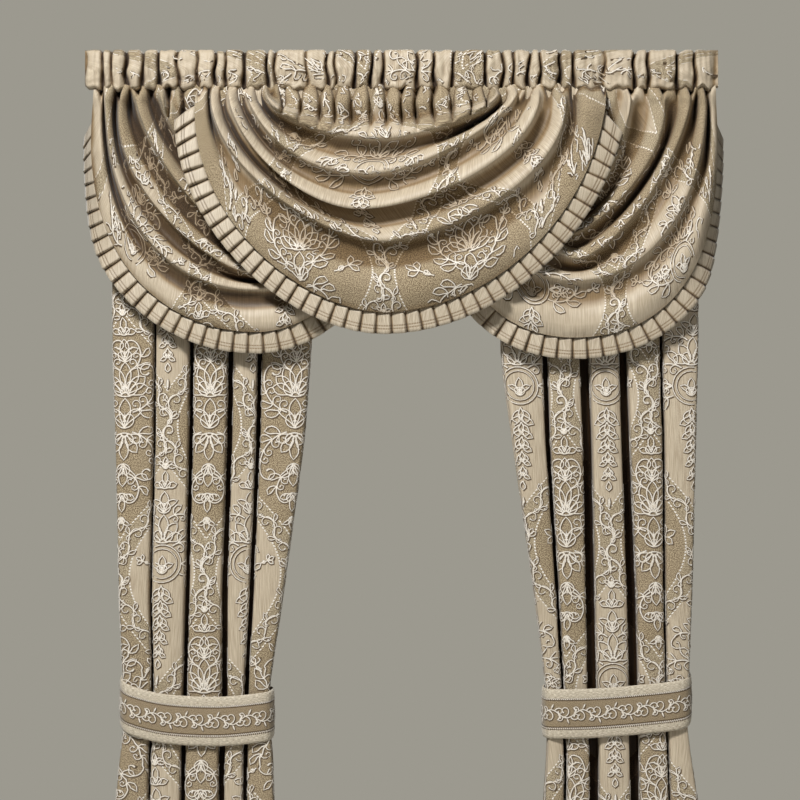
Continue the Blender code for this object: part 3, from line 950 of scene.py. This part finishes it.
# Trims
def along(points, s):
    """The point at distance s along a line, and the line's direction there in the drape's plane."""
    done = 0.0
    for a, b in zip(points, points[1:]):
        step = (b - a).length
        if done + step >= s or b is points[-1]:
            t = (s - done) / step
            flat = math.hypot(b.x - a.x, b.z - a.z)
            return a.lerp(b, t), ((b.x - a.x) / flat, (b.z - a.z) / flat)
        done += step


def pleat_height(share):
    for (a, low), (b, high) in zip(PLEAT_SHAPE, PLEAT_SHAPE[1:]):
        if a <= share <= b:
            return mix(low, high, (share - a) / (b - a))
    return 0.0


def trim_cloth(swag, hem):
    """A knife-pleated strip that follows the swag's hem just behind it."""
    length = sum((b - a).length for a, b in zip(hem, hem[1:])) - 2.0 * TRIM_START
    pleats = round(length / PLEAT)

    def place(u, v):
        at_start = max(0.0, 1.0 - u * length / TRIM_SLANT_OVER)
        at_end = max(0.0, 1.0 - (1.0 - u) * length / TRIM_SLANT_OVER)
        slant = (v - 0.5) * TRIM_SLANT * (at_start - at_end)
        spot, way = along(hem, TRIM_START + u * length + slant)
        high = pleat_height(u * pleats - int(min(u * pleats, pleats - 1)))
        end = max(at_start, at_end)
        turned = smooth((abs(spot.x) - TURN_FROM) / TURN_OVER) if swag.covered else 0.0
        turn = TURN_MOST * turned
        out = (way[1] * math.cos(turn), math.sin(turn), -way[0] * math.cos(turn))
        reach = mix(-TRIM_UNDER, TRIM_WIDE + high, v)
        y = spot.y + TRIM_BEHIND + PLEAT_DEEP * (1.0 - high) - PLEAT_DEEP * (high - 0.5) * v
        y += TRIM_END_BACK * end * end
        return spot.x + out[0] * reach, y + out[1] * reach, spot.z + out[2] * reach
    return Cloth(place, pleats * PLEAT_STEPS, TRIM_ROWS, TRIM_RECESS)


# Rod pocket
def pocket_place(u, v):
    """Where each point of the pocket's grid hangs: u along the rod, v round it from seam to seam."""
    x = mix(-POCKET_HALF, POCKET_HALF, u)
    y, drop, puff, front = curve_through(POCKET_ROWS, v)
    end = mix(END_PUFF, 1.0, smooth((POCKET_HALF - abs(x)) / END_OVER))
    lean = x + rumple(POCKET_SWAY, x, drop)
    wide = mix(*POCKET_CREASE, smooth((drop - CREASE_FROM) / CREASE_OVER))
    puffed, askew = strip_between(GATHERS, lean)
    pinch = GATHER_DEEP * crease(GATHERS, lean, wide) - POCKET_PUFF * (puffed - 0.5) + askew
    pinch += rumple(POCKET_CRINKLE, x, drop)
    if front > 0.0:
        y = mix(y, y * end, front)
    y += pinch * puff * (1.0 if y < 0.0 else BACK_PINCH)
    y += (rumple(POCKET_SOFT, x, drop) + rumple(POCKET_FINE, x, drop * POCKET_FINE_HIGH)) * puff
    if drop < RAGGED_OVER:
        ragged = RAGGED_LEAST + max(0.0, rumple(TOP_RAGGED, x, 0.0))
        drop += (TOP_DIP * crease(GATHERS, lean, TOP_CREASE) + ragged) * (1.0 - drop / RAGGED_OVER)
    arch = POCKET_ARCH * (1.0 - puffed) * smooth((drop - CREASE_FROM) / ARCH_GROWS)
    return x, y, seam_wobble(x, drop) + arch - max(0.0, drop)


# Tails

LEVELS = {}


def level_at(levels, z):
    """The tail's section at a height, rounded a little where its levels meet, and worked out once."""
    key = (levels[0].outer, round(z, 3))
    if key in LEVELS:
        return LEVELS[key]
    found = []
    for d in LEVEL_ROUND:
        spot = max(min(z + d, levels[0].z), levels[-1].z)
        for a, b in zip(levels, levels[1:]):
            if a.z >= spot >= b.z:
                t = (spot - a.z) / (b.z - a.z)
                found.append([mix(p, q, t) for p, q in zip(a, b)])
                break
    LEVELS[key] = Level(*(sum(c) / len(c) for c in zip(*found)))
    return LEVELS[key]


def tail_place(levels, gaps):
    """Where each point of the tail's grid hangs: u from left to right, v down."""
    def place(u, v):
        z = mix(levels[0].z, levels[-1].z, v)
        level = level_at(levels, z)
        edges = level[1:7] if level.outer < 0 else level[6:0:-1]
        opened = [mix(a, b, smooth(min(1.0, z / TAIL_TIED))) for a, b in gaps]
        if level.outer > 0:
            opened = opened[::-1]
        opened = [0.0] + opened + [0.0]
        i = min(int(u * FLUTES), FLUTES - 1)
        share, wall, high = curve_through(FLUTE, u * FLUTES - i)
        if (i == 0 and u * FLUTES < 0.5) or (i == FLUTES - 1 and u * FLUTES > FLUTES - 0.5):
            # The outer half of an end flute doesn't turn in as far: it is the hemmed side of the tail
            high = max(high, mix(EDGE_HEIGHT, high, smooth(abs(u * FLUTES - i - 0.5) * 2.0 < 0.8)))
        a, b = edges[i] + wall * opened[i] / 2.0, edges[i + 1] - wall * opened[i + 1] / 2.0
        x = mix(a, b, share)
        loose = 1.0 - math.exp(-((z - TAIL_TIED) / TIED_OVER) ** 2)
        x += rumple(TAIL_SWAY, x, z * TAIL_SWAY_HIGH) * loose * (0.3 < share < 0.7)
        y = TAIL_BACK - level.deep * high + rumple(TAIL_SOFT, x, z * TAIL_SOFT_HIGH) * loose
        return x, y, z
    return place


# Tie bands
def band_place(turns, levels):
    """Where each point of the band's grid hangs: u round the tail, v down from its upper edge."""
    level = level_at(levels, BAND_LEVEL)
    flip = level.outer > 0
    line = [turns[0]] + turns + [turns[-1]]

    def spot_at(u):
        across, deep, z = curve_through(line, u)
        return Vector((mix(level.outer, level.inner, across), deep, z))

    def place(u, v):
        u = 1.0 - u if flip else u
        spot = spot_at(u)
        way = spot_at(min(1.0, u + BAND_STEP)) - spot_at(max(0.0, u - BAND_STEP))
        way = -way if flip else way
        out = Vector((way.y, -way.x, 0.0)).normalized()
        ends = smooth(min(u, 1.0 - u) / BAND_TAPER)
        high = mix(BAND_END_HIGH, BAND_HIGH, ends)
        edge = abs(2.0 * v - 1.0)
        groove = GROOVE_DEEP * math.exp(-((edge - GROOVE_AT) / GROOVE_WIDE) ** 2)
        puff = BAND_PUFF - BAND_THIN * edge ** 10 - groove
        spot += out * (puff + rumple(BAND_SOFT, spot.x, spot.z + 50 * v))
        return spot.x, spot.y, spot.z + high * (0.5 - v)
    return place


def vine():
    """One length of the scroll border: in each half a waving stem, three curls and small leaves."""
    strokes = []
    for x, up in ((0.0, 1), (VINE_LONG / 2.0, -1)):
        wave = [(x + k * 3.2, up * 8.0 * math.sin(math.pi * k / 10)) for k in range(11)]
        strokes.append(line(wave, 3.0))
        for at, angle, size, hand, wide in ((8, -4, 46, -1, 3.6), (24, 62, 34, -1, 3.4),
                                            (8, 80, 24, 1, 3.0)):
            strokes.append(curl(x + at, up * 7, up * angle, size, hand * up, wide))
        for at, high, angle in ((16, 9, 66), (30, 1, -58), (4, 4, 128)):
            strokes.append(leaf(x + at, up * high, up * angle, 12, 4.6))
    return strokes


# Materials. Real threads here lie about 0.3 mm apart, too fine to show in the render, so each grain
# below is drawn as coarse as it needs to show. Sizes are in millimetres, across and down the cloth.
# Painted shade: the cloth's colour is multiplied toward these as its fold shade rises, to darken
# recesses, slots and pleat grooves
PAINTED_SHADE_BROWN = "#BEAE96"
PAINTED_SHADE_DARK = "#726353"
# Floats of the satin, five threads wide; stippled grain, seven by six threads; yarn, two threads
SATIN_STREAK = (1.6, 50.0)
STIPPLE_GRAIN = (2.2, 1.8)
YARN_GRAIN = (0.7, 0.7)
# Slow changes of tone over the hung cloth, of a hand's width
CLOTH_CLOUD = (100.0, 140.0)
# The broken ivory line on both edges of the lace: four dashes to an inch, half width 1.6
LACE_EDGE = 1.6
LACE_DASH = 6.2
# Sateen ribs three threads wide, the trims' slow tone, and stitches 3.4 long in two rows, half width 1.3
TRIM_STREAK = (1.0, 30.0)
TRIM_CLOUD = (30.0, 50.0)
STITCH_LONG = 3.4
STITCH_ROWS = (27.5, 33.5)
STITCH_HALF = 1.3
# The bands' weave, four threads, its ribbed borders, and the groove beside each border
BAND_GRAIN = (1.2, 1.2)
BORDER_RIB = (6.0, 1.2)
BORDER_FROM = 30.0
BORDER_GROOVE = 26.8
BORDER_GROOVE_HALF = 1.1
# Plies of the raised thread, in turns for each metre: 2.4 mm apart
PLY_TURNS = 420.0
COLOR_MIX = {"out": 2, "data_type": "RGBA"}


class Nodes:
    """A material, and the one call that adds a node to it."""

    def __init__(self, name, **settings):
        self.material = bpy.data.materials.new(name)
        self.material.use_nodes = True
        self.tree = self.material.node_tree
        self.shader = self.tree.nodes["Principled BSDF"]
        for key, value in settings.items():
            self.shader.inputs[key.replace("_", " ")].default_value = value

    def add(self, kind, *inputs, out=0, **props):
        """Adds a node with its settings, and values, hex colours or other outputs as its inputs."""
        node = self.tree.nodes.new("ShaderNode" + kind)
        for key, value in props.items():
            setattr(node, key, value)
        given = inputs[0] if inputs and isinstance(inputs[0], dict) else dict(enumerate(inputs))
        for key, value in given.items():
            if isinstance(value, bpy.types.NodeSocket):
                self.tree.links.new(value, node.inputs[key])
            else:
                color = isinstance(value, str)
                node.inputs[key].default_value = (*linear(value), 1.0) if color else value
        return node.outputs[out]

    def flat_cut(self):
        """The place on the flat cut, across and down, in metres."""
        uv = self.add("UVMap", uv_map="flat cut")
        return uv, self.add("SeparateXYZ", uv), self.add("SeparateXYZ", uv, out=1)

    def grains(self, vector, size, detail=2.0):
        """Noise in grains of that size in millimetres across and down, from 0 to 1."""
        scale = (1.0 / (size[0] * MM), 1.0 / (size[1] * MM), 1.0)
        sized = self.add("Mapping", {0: vector, 3: scale})
        return self.add("TexNoise", {0: sized, 2: 1.0, 3: detail})

    def near(self, place, line, half):
        """1 within half of a line at that place, and 0 elsewhere. All are in metres."""
        off = self.add("Math", place, line, operation="SUBTRACT")
        return self.add("Math", self.add("Math", off, operation="ABSOLUTE"), half, operation="LESS_THAN")

    def dashes(self, place, pitch, over):
        """1 on each dash of a broken line and 0 between them; over says how long the dashes are."""
        turn = self.add("Math", place, 2.0 * math.pi / (pitch * MM), operation="MULTIPLY")
        return self.add("Math", self.add("Math", turn, operation="SINE"), over, operation="GREATER_THAN")

    def finish(self, color, rough, height, depth):
        """Paints shade into the recesses, darkening the colour by the fold shade attribute, then sets
        colour, roughness and a bump of that depth in metres.
        """
        deep = self.add("Attribute", out=2, attribute_name="fold shade")
        for low, high, shade in ((0.0, 0.5, PAINTED_SHADE_BROWN), (0.5, 1.0, PAINTED_SHADE_DARK)):
            share = self.add("MapRange", deep, low, high, 0.0, 1.0)
            color = self.add("Mix", {0: share, 6: color, 7: shade}, blend_type="MULTIPLY",
                             **COLOR_MIX)
        self.tree.links.new(color, self.shader.inputs["Base Color"])
        if rough is not None:
            self.tree.links.new(rough, self.shader.inputs["Roughness"])
        bump = self.add("Bump", {"Strength": 1.0, "Distance": depth, "Height": height})
        self.tree.links.new(bump, self.shader.inputs["Normal"])
        return self.material


def damask_cloth(looks):
    """Jacquard damask in three weaves of one cloth. The satin ogees are smooth and gleam in fine
    streaks, the matte ones are dull gold and stippled, and the lace has the same stipple, paler."""
    n = Nodes("sand jacquard damask", Sheen_Weight=0.12, Sheen_Roughness=0.45,
              Specular_IOR_Level=0.35)
    uv, across, down = n.flat_cut()
    wide, high = REPEAT_WIDE * MM, REPEAT_HIGH * MM
    wave = n.add("Math", down, 2.0 * math.pi / high, operation="MULTIPLY")
    wave = n.add("Math", wave, operation="COSINE")
    edge = n.add("Math", wave, wide / 4.0, wide / 4.0, operation="MULTIPLY_ADD")
    spot = n.add("Math", across, wide / 2.0, -wide / 2.0, operation="WRAP")
    spot = n.add("Math", spot, operation="ABSOLUTE")
    inside = n.add("Math", edge, spot, operation="SUBTRACT")
    aside = n.add("Math", inside, operation="ABSOLUTE")
    lace_band = n.add("Math", aside, LACE_HALF * MM, operation="LESS_THAN")
    satin = n.add("Math", inside, LACE_HALF * MM, operation="GREATER_THAN")
    streak = n.grains(uv, SATIN_STREAK)
    grain = n.grains(uv, STIPPLE_GRAIN, 1.0)
    cloud = n.grains(uv, CLOTH_CLOUD)
    yarn = n.grains(uv, YARN_GRAIN, 0.0)
    stipple = n.add("MapRange", grain, 0.40, 0.62, 0.0, 1.0)
    gleam = n.add("MapRange", streak, 0.35, 0.65, 0.0, 1.0)
    grounds = [n.add("Mix", {0: share, 6: looks[weave + "_low"], 7: looks[weave + "_high"]},
                     **COLOR_MIX)
               for weave, share in (("matte", stipple), ("satin", gleam), ("lace", stipple))]
    color = n.add("Mix", {0: satin, 6: grounds[0], 7: grounds[1]}, **COLOR_MIX)
    color = n.add("Mix", {0: lace_band, 6: color, 7: grounds[2]}, **COLOR_MIX)
    line_there = n.near(aside, LACE_HALF * MM, LACE_EDGE * MM)
    dashed = n.add("Math", line_there, n.dashes(down, LACE_DASH, -0.2), operation="MULTIPLY")
    color = n.add("Mix", {0: dashed, 6: color, 7: looks["ivory"]}, **COLOR_MIX)
    cloud = n.add("MapRange", cloud, 0.35, 0.7, 0.0, 1.0)
    cloud = n.add("Math", cloud, 0.16, operation="MULTIPLY")
    color = n.add("Mix", {0: cloud, 6: color, 7: looks["satin_low"]}, **COLOR_MIX)
    rough = n.add("MapRange", satin, 0.0, 1.0, 0.78, 0.46)
    flat = n.add("Math", satin, 0.8, operation="MULTIPLY")
    flat = n.add("Math", 1.0, flat, operation="SUBTRACT")
    rise = n.add("Math", grain, flat, operation="MULTIPLY")
    fine = n.add("Math", streak, yarn, operation="ADD")
    fine = n.add("Math", fine, 0.25, operation="MULTIPLY")
    return n.finish(color, rough, n.add("Math", rise, fine, operation="ADD"), 0.0007)


def thread_cloth(name, low, high, side, rough):
    """Thick soft thread that floats on the weave: matte and light on top, where its plies show, and
    mixed toward its side colour where it turns down into the ground. On the ivory thread that is painted
    brown shade, which also outlines it."""
    n = Nodes(name, Roughness=rough, Sheen_Weight=0.3, Specular_IOR_Level=0.35)
    ply = n.add("TexNoise", {0: n.add("TexCoord", out=3), 2: PLY_TURNS, 3: 1.0})
    share = n.add("MapRange", ply, 0.35, 0.65, 0.0, 1.0)
    color = n.add("Mix", {0: share, 6: low, 7: high}, **COLOR_MIX)
    # Toward the strip's two edges the colour goes to the side colour: on the ivory thread, painted shade
    edge = n.add("SeparateXYZ", n.add("TexCoord", out=2), out=1)
    edge = n.add("Math", edge, 2.0, -1.0, operation="MULTIPLY_ADD")
    edge = n.add("Math", edge, operation="ABSOLUTE")
    share = n.add("MapRange", edge, 0.42, 0.95, 0.0, 1.0)
    color = n.add("Mix", {0: share, 6: color, 7: side}, **COLOR_MIX)
    return n.finish(color, None, ply, 0.0004)


def trim_satin(looks):
    """Sateen pressed in knife pleats: fine lengthwise ribs that gleam, and two brown stitched lines
    that sink into the cloth."""
    n = Nodes("pleated gold sateen", Roughness=0.48, Sheen_Weight=0.3, Specular_IOR_Level=0.4)
    uv, across, down = n.flat_cut()
    streak = n.grains(uv, TRIM_STREAK)
    cloud = n.add("Math", n.grains(uv, TRIM_CLOUD), 0.25, operation="MULTIPLY")
    gleam = n.add("MapRange", streak, 0.3, 0.7, 0.0, 1.0)
    color = n.add("Mix", {0: gleam, 6: looks["trim_low"], 7: looks["trim_high"]}, **COLOR_MIX)
    color = n.add("Mix", {0: cloud, 6: color, 7: looks["trim_low"]}, **COLOR_MIX)
    rows = [n.near(down, -row * MM, STITCH_HALF * MM) for row in STITCH_ROWS]
    lines = n.add("Math", *rows, operation="MAXIMUM")
    lines = n.add("Math", lines, n.dashes(across, STITCH_LONG, -0.5), operation="MULTIPLY")
    share = n.add("Math", lines, 0.8, operation="MULTIPLY")
    color = n.add("Mix", {0: share, 6: color, 7: looks["stitch"]}, **COLOR_MIX)
    rise = n.add("Math", streak, 0.3, operation="MULTIPLY")
    return n.finish(color, None, n.add("Math", rise, lines, operation="SUBTRACT"), 0.0005)


def band_cloth(looks):
    """Woven border braid: a grainy gold middle for the scroll, and plain light ribbed borders, each
    set off by a dark groove."""
    n = Nodes("gold border band", Roughness=0.6, Sheen_Weight=0.3, Specular_IOR_Level=0.3)
    uv, across, down = n.flat_cut()
    grain = n.grains(uv, BAND_GRAIN, 1.0)
    rib = n.grains(uv, BORDER_RIB)
    middle = n.add("Math", down, BAND_HIGH * MM / 2.0, operation="ADD")
    middle = n.add("Math", middle, operation="ABSOLUTE")
    border = n.add("Math", middle, BORDER_FROM * MM, operation="GREATER_THAN")
    groove = n.near(middle, BORDER_GROOVE * MM, BORDER_GROOVE_HALF * MM)
    gold, plain = (n.add("MapRange", weave, 0.35, 0.65, 0.0, 1.0) for weave in (grain, rib))
    gold = n.add("Mix", {0: gold, 6: looks["band_low"], 7: looks["band_high"]}, **COLOR_MIX)
    plain = n.add("Mix", {0: plain, 6: looks["border_low"], 7: looks["border_high"]}, **COLOR_MIX)
    color = n.add("Mix", {0: border, 6: gold, 7: plain}, **COLOR_MIX)
    color = n.add("Mix", {0: groove, 6: color, 7: looks["rim"]}, **COLOR_MIX)
    return n.finish(color, None, n.add("Math", grain, rib, operation="ADD"), 0.0005)


# Settings
def color_prop(name, text, hex_color):
    return bpy.props.FloatVectorProperty(name=name, description=text, subtype="COLOR", size=3,
                                         min=0.0, max=1.0, default=linear(hex_color))


def thickness_prop(name, text, thick, least, most):
    return bpy.props.FloatProperty(name=name, description=text, unit="LENGTH",
                                   default=thick * MM, min=least, max=most)


class DrapeColors(bpy.types.PropertyGroup):
    satin_low: color_prop("Satin shade", "Darker streaks of the plain satin", "#B1A088")
    satin_high: color_prop("Satin light", "Lighter streaks of the plain satin", "#D1C3AA")
    matte_low: color_prop("Matte shade", "Darker stipple of the matte ground", "#6C5A42")
    matte_high: color_prop("Matte light", "Lighter stipple of the matte ground", "#C2B08F")
    lace_low: color_prop("Lace shade", "Darker ground under the lace", "#76654C")
    lace_high: color_prop("Lace light", "Lighter ground under the lace", "#CCBD9F")
    ivory: color_prop("Ivory thread", "Raised outlines", "#F6F0E6")
    thread: color_prop("Ivory shade", "Darker ply of the raised outlines", "#DFD3BF")
    # The brown outline thread, laid below the raised outlines as their painted shadow; also the painted
    # shade at the ivory thread's edges, and the bands' grooves
    rim: color_prop("Brown rim", "Shadow thread beside the outlines", "#523F28")
    trim_low: color_prop("Trim shade", "Darker streaks of the pleated trims", "#A08F76")
    trim_high: color_prop("Trim light", "Lighter streaks of the pleated trims", "#DACEB8")
    stitch: color_prop("Stitching", "Stitched lines on the trims", "#7A5E38")
    band_low: color_prop("Band shade", "Darker weave of the tie bands", "#6B583E")
    band_high: color_prop("Band light", "Lighter weave of the tie bands", "#B5A384")
    border_low: color_prop("Border shade", "Darker weave of the bands' borders", "#A79880")
    border_high: color_prop("Border light", "Lighter weave of the bands' borders", "#E4DAC5")

    def sockets(self):
        """Each colour as a node's socket takes it."""
        return {key: (*getattr(self, key), 1.0) for key in self.bl_rna.properties.keys()
                if key not in ("rna_type", "name")}


class DrapeSizes(bpy.types.PropertyGroup):
    cloth_thick: thickness_prop("Cloth thickness", "Thickness of the hung cloth",
                                CLOTH_THICK, 0.0002, 0.002)
    band_thick: thickness_prop("Band thickness", "Thickness of the lined tie bands",
                               BAND_THICK, 0.0005, 0.003)


MADE = {}


def material_for(kind):
    """Each finish is made once."""
    looks = bpy.context.scene.drape_colors.sockets()
    # The ivory thread's edges go brown: painted shade of its rounded sides, which also outlines it
    ivory = ("ivory outline thread", looks["thread"], looks["ivory"], looks["rim"], 0.6)
    rim = ("brown outline thread with painted shadow", looks["rim"], looks["rim"], looks["lace_low"], 0.75)
    makers = {
        "damask": lambda: damask_cloth(looks),
        "ivory": lambda: thread_cloth(*ivory),
        "rim": lambda: thread_cloth(*rim),
        "trim": lambda: trim_satin(looks),
        "band": lambda: band_cloth(looks),
    }
    if kind not in MADE:
        MADE[kind] = makers[kind]()
    return MADE[kind]


def hang(name, node, cloth, kind, shift=(0.0, 0.0), strokes=(),
         keep=lambda p, n: True):
    """Makes a sheet and its raised outlines, hangs them from the root body, and hides the CAD part they
    stand for.
    """
    sizes = bpy.context.scene.drape_sizes
    thick = sizes.band_thick if kind == "band" else sizes.cloth_thick
    piece = sheet_object(name, cloth, thick, material_for(kind), shift)
    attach(piece, "root")
    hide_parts(node)
    if strokes:
        lines = drawn_cloth(name + "_outlines", cloth, strokes, keep)
        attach(lines, "root")
    width, length = cloth.size()
    cloth.area() * MM * MM


# Operators
class DRAPE_OT_heading(bpy.types.Operator):
    """Gathers the rod pocket"""
    bl_idname = "drape.heading"
    bl_label = "Rod pocket"

    def execute(self, context):
        cloth, shift = Cloth(pocket_place, 700, 44, POCKET_RECESS), (40.0, -206.0)
        hang("rod_pocket_cloth", "valance_heading", cloth, "damask", shift,
             repeated(repeat_strokes(), cloth, shift),
             lambda p, n: p.y < POCKET_SHOWS and p.z > SEAM_SHOWS and n.y < FACES_ROOM)
        return {"FINISHED"}


class DRAPE_OT_swags(bpy.types.Operator):
    """Drapes the three swags and sews the pleated trims to their hems"""
    bl_idname = "drape.swags"
    bl_label = "Swags and trims"

    def execute(self, context):
        for side, swag in SWAGS.items():
            cloth = Cloth(swag_place(swag), 200, SWAG_ROWS, swag.recess)
            name = "swag_" + side + "_cloth"
            hang(name, "swag_" + side, cloth, "damask", swag.shift,
                 repeated(repeat_strokes(), cloth, swag.shift), lambda p, n: n.y < FACES_ROOM)
            trim = trim_cloth(swag, cloth.points[-1])
            hang("trim_" + side + "_pleats", "trim_" + side, trim, "trim")
        return {"FINISHED"}


class DRAPE_OT_tails(bpy.types.Operator):
    """Hangs the two fluted tails"""
    bl_idname = "drape.tails"
    bl_label = "Tails"

    def execute(self, context):
        for side, levels, gaps, shift in (("left", LEFT_TAIL, LEFT_GAPS, (175.0, 150.0)),
                                          ("right", RIGHT_TAIL, RIGHT_GAPS, (0.0, -90.0))):
            cloth = Cloth(tail_place(levels, gaps), 190, 96, TAIL_RECESS)
            hang("tail_" + side + "_cloth", "tail_" + side, cloth, "damask",
                 shift, repeated(repeat_strokes(), cloth, shift),
                 lambda p, n: p.y < SLOT_FROM and p.z < TAIL_SHOWS)
        return {"FINISHED"}


class DRAPE_OT_bands(bpy.types.Operator):
    """Wraps the tie bands round the tails"""
    bl_idname = "drape.bands"
    bl_label = "Tie bands"

    def execute(self, context):
        cord = [line([(x, 29.5 * up - 1.6), (x + 1.4, 29.5 * up), (x + 2.8, 29.5 * up + 1.6)], 2.4)
                for x in range(0, int(VINE_LONG), CORD_STITCH) for up in (1, -1)]
        strokes = [moved(stroke, VINE_LONG * k, -BAND_HIGH / 2.0)
                   for stroke in vine() + cord for k in range(-7, 8)]
        for side, turns, levels in (("left", LEFT_BAND, LEFT_TAIL), ("right", RIGHT_BAND, RIGHT_TAIL)):
            cloth = Cloth(band_place(turns, levels), 200, 24, NO_RECESS)
            hang("tie_band_" + side, "tieback_" + side, cloth, "band",
                 strokes=strokes)
        return {"FINISHED"}


# The stage, in metres: the floor, the world's light on the camera and on the drape, and the lamps
FLOOR_HALF = 3.4
FLOOR_BELOW = 0.03
FLOOR_PALE = (0.62, 0.61, 0.57, 1.0)
WORLD_GREY = "#9C998F"
WORLD_LIGHT = 0.14
WORLD_SEEN = 1.0
LAMPS = (
    ("key", (-1.5, -3.6, 2.9), (0.0, 0.0, -0.9), (1.3, 0.9), 330.0),
    ("fill", (2.4, -3.6, -0.6), (0.0, 0.0, -0.9), (1.6, 2.0), 13.0),
    ("back", (0.6, 3.4, 0.8), (0.0, 0.0, -1.0), (2.4, 2.0), 60.0),
)
# The photo is 1.6 m wide at 4.5 m from the eye
SENSOR = 36.0
EYE_AWAY = 4.5
PHOTO_WIDE = 1.6
EYE = (-0.003, -4.53, -0.704)


def lamp(name, place, aim, size, power):
    light = bpy.data.lights.new(name, "AREA")
    light.shape = "RECTANGLE"
    light.size, light.size_y = size
    light.energy = power
    obj = bpy.data.objects.new(name, light)
    obj.location = place
    obj.rotation_euler = (Vector(aim) - Vector(place)).to_track_quat("-Z", "Y").to_euler()
    bpy.context.scene.collection.objects.link(obj)


class DRAPE_OT_stage(bpy.types.Operator):
    """Sets the pale floor, the soft light and the camera"""
    bl_idname = "drape.stage"
    bl_label = "Floor, light and camera"

    def execute(self, context):
        bm = bmesh.new()
        bmesh.ops.create_grid(bm, x_segments=1, y_segments=1, size=FLOOR_HALF)
        bmesh.ops.translate(bm, verts=bm.verts, vec=(0.0, 0.0, CAD_BOX[0][2] - FLOOR_BELOW))
        # Matt painted board: plain and pale, so that only the drape's soft shadow shows on it
        pale = Nodes("pale floor", Base_Color=FLOOR_PALE, Roughness=0.9).material
        mesh_object("floor", bm, [pale])
        world = bpy.data.worlds.new("soft daylight")
        world.use_nodes = True
        tree = world.node_tree
        sky = tree.nodes["Background"]
        sky.inputs["Color"].default_value = (*linear(WORLD_GREY), 1.0)
        path = tree.nodes.new("ShaderNodeLightPath")
        strength = tree.nodes.new("ShaderNodeMapRange")
        strength.inputs["To Min"].default_value = WORLD_LIGHT
        strength.inputs["To Max"].default_value = WORLD_SEEN
        tree.links.new(path.outputs["Is Camera Ray"], strength.inputs["Value"])
        tree.links.new(strength.outputs["Result"], sky.inputs["Strength"])
        context.scene.world = world
        for name, place, aim, size, power in LAMPS:
            lamp(name, place, aim, size, power)
        camera = bpy.data.cameras.new("camera")
        camera.sensor_width = SENSOR
        camera.lens = SENSOR * EYE_AWAY / PHOTO_WIDE
        eye = bpy.data.objects.new("camera", camera)
        eye.location = EYE
        eye.rotation_euler = (math.radians(90.0), 0.0, 0.0)
        context.scene.collection.objects.link(eye)
        context.scene.camera = eye
        context.scene.view_settings.view_transform = "Standard"
        return {"FINISHED"}


STEPS = (DRAPE_OT_heading, DRAPE_OT_swags, DRAPE_OT_tails, DRAPE_OT_bands, DRAPE_OT_stage)


class DRAPE_PT_panel(bpy.types.Panel):
    """The drape's pieces, sizes and colours"""
    bl_idname = "DRAPE_PT_panel"
    bl_label = "Swag and tail drape"
    bl_space_type = "VIEW_3D"
    bl_region_type = "UI"
    bl_category = "Drape"

    def draw(self, context):
        for step in STEPS:
            self.layout.operator(step.bl_idname)
        for group in (context.scene.drape_sizes, context.scene.drape_colors):
            for key in group.bl_rna.properties.keys():
                if key not in ("rna_type", "name"):
                    self.layout.prop(group, key)


CLASSES = (DrapeColors, DrapeSizes) + STEPS + (DRAPE_PT_panel,)


def register():
    for cls in CLASSES:
        bpy.utils.register_class(cls)
    bpy.types.Scene.drape_colors = bpy.props.PointerProperty(type=DrapeColors)
    bpy.types.Scene.drape_sizes = bpy.props.PointerProperty(type=DrapeSizes)


def unregister():
    del bpy.types.Scene.drape_sizes
    del bpy.types.Scene.drape_colors
    for cls in reversed(CLASSES):
        bpy.utils.unregister_class(cls)


def main():
    register()
    for step in STEPS:
        group, call = step.bl_idname.split(".")
        getattr(getattr(bpy.ops, group), call)()


if __name__ == "__main__":
    main()
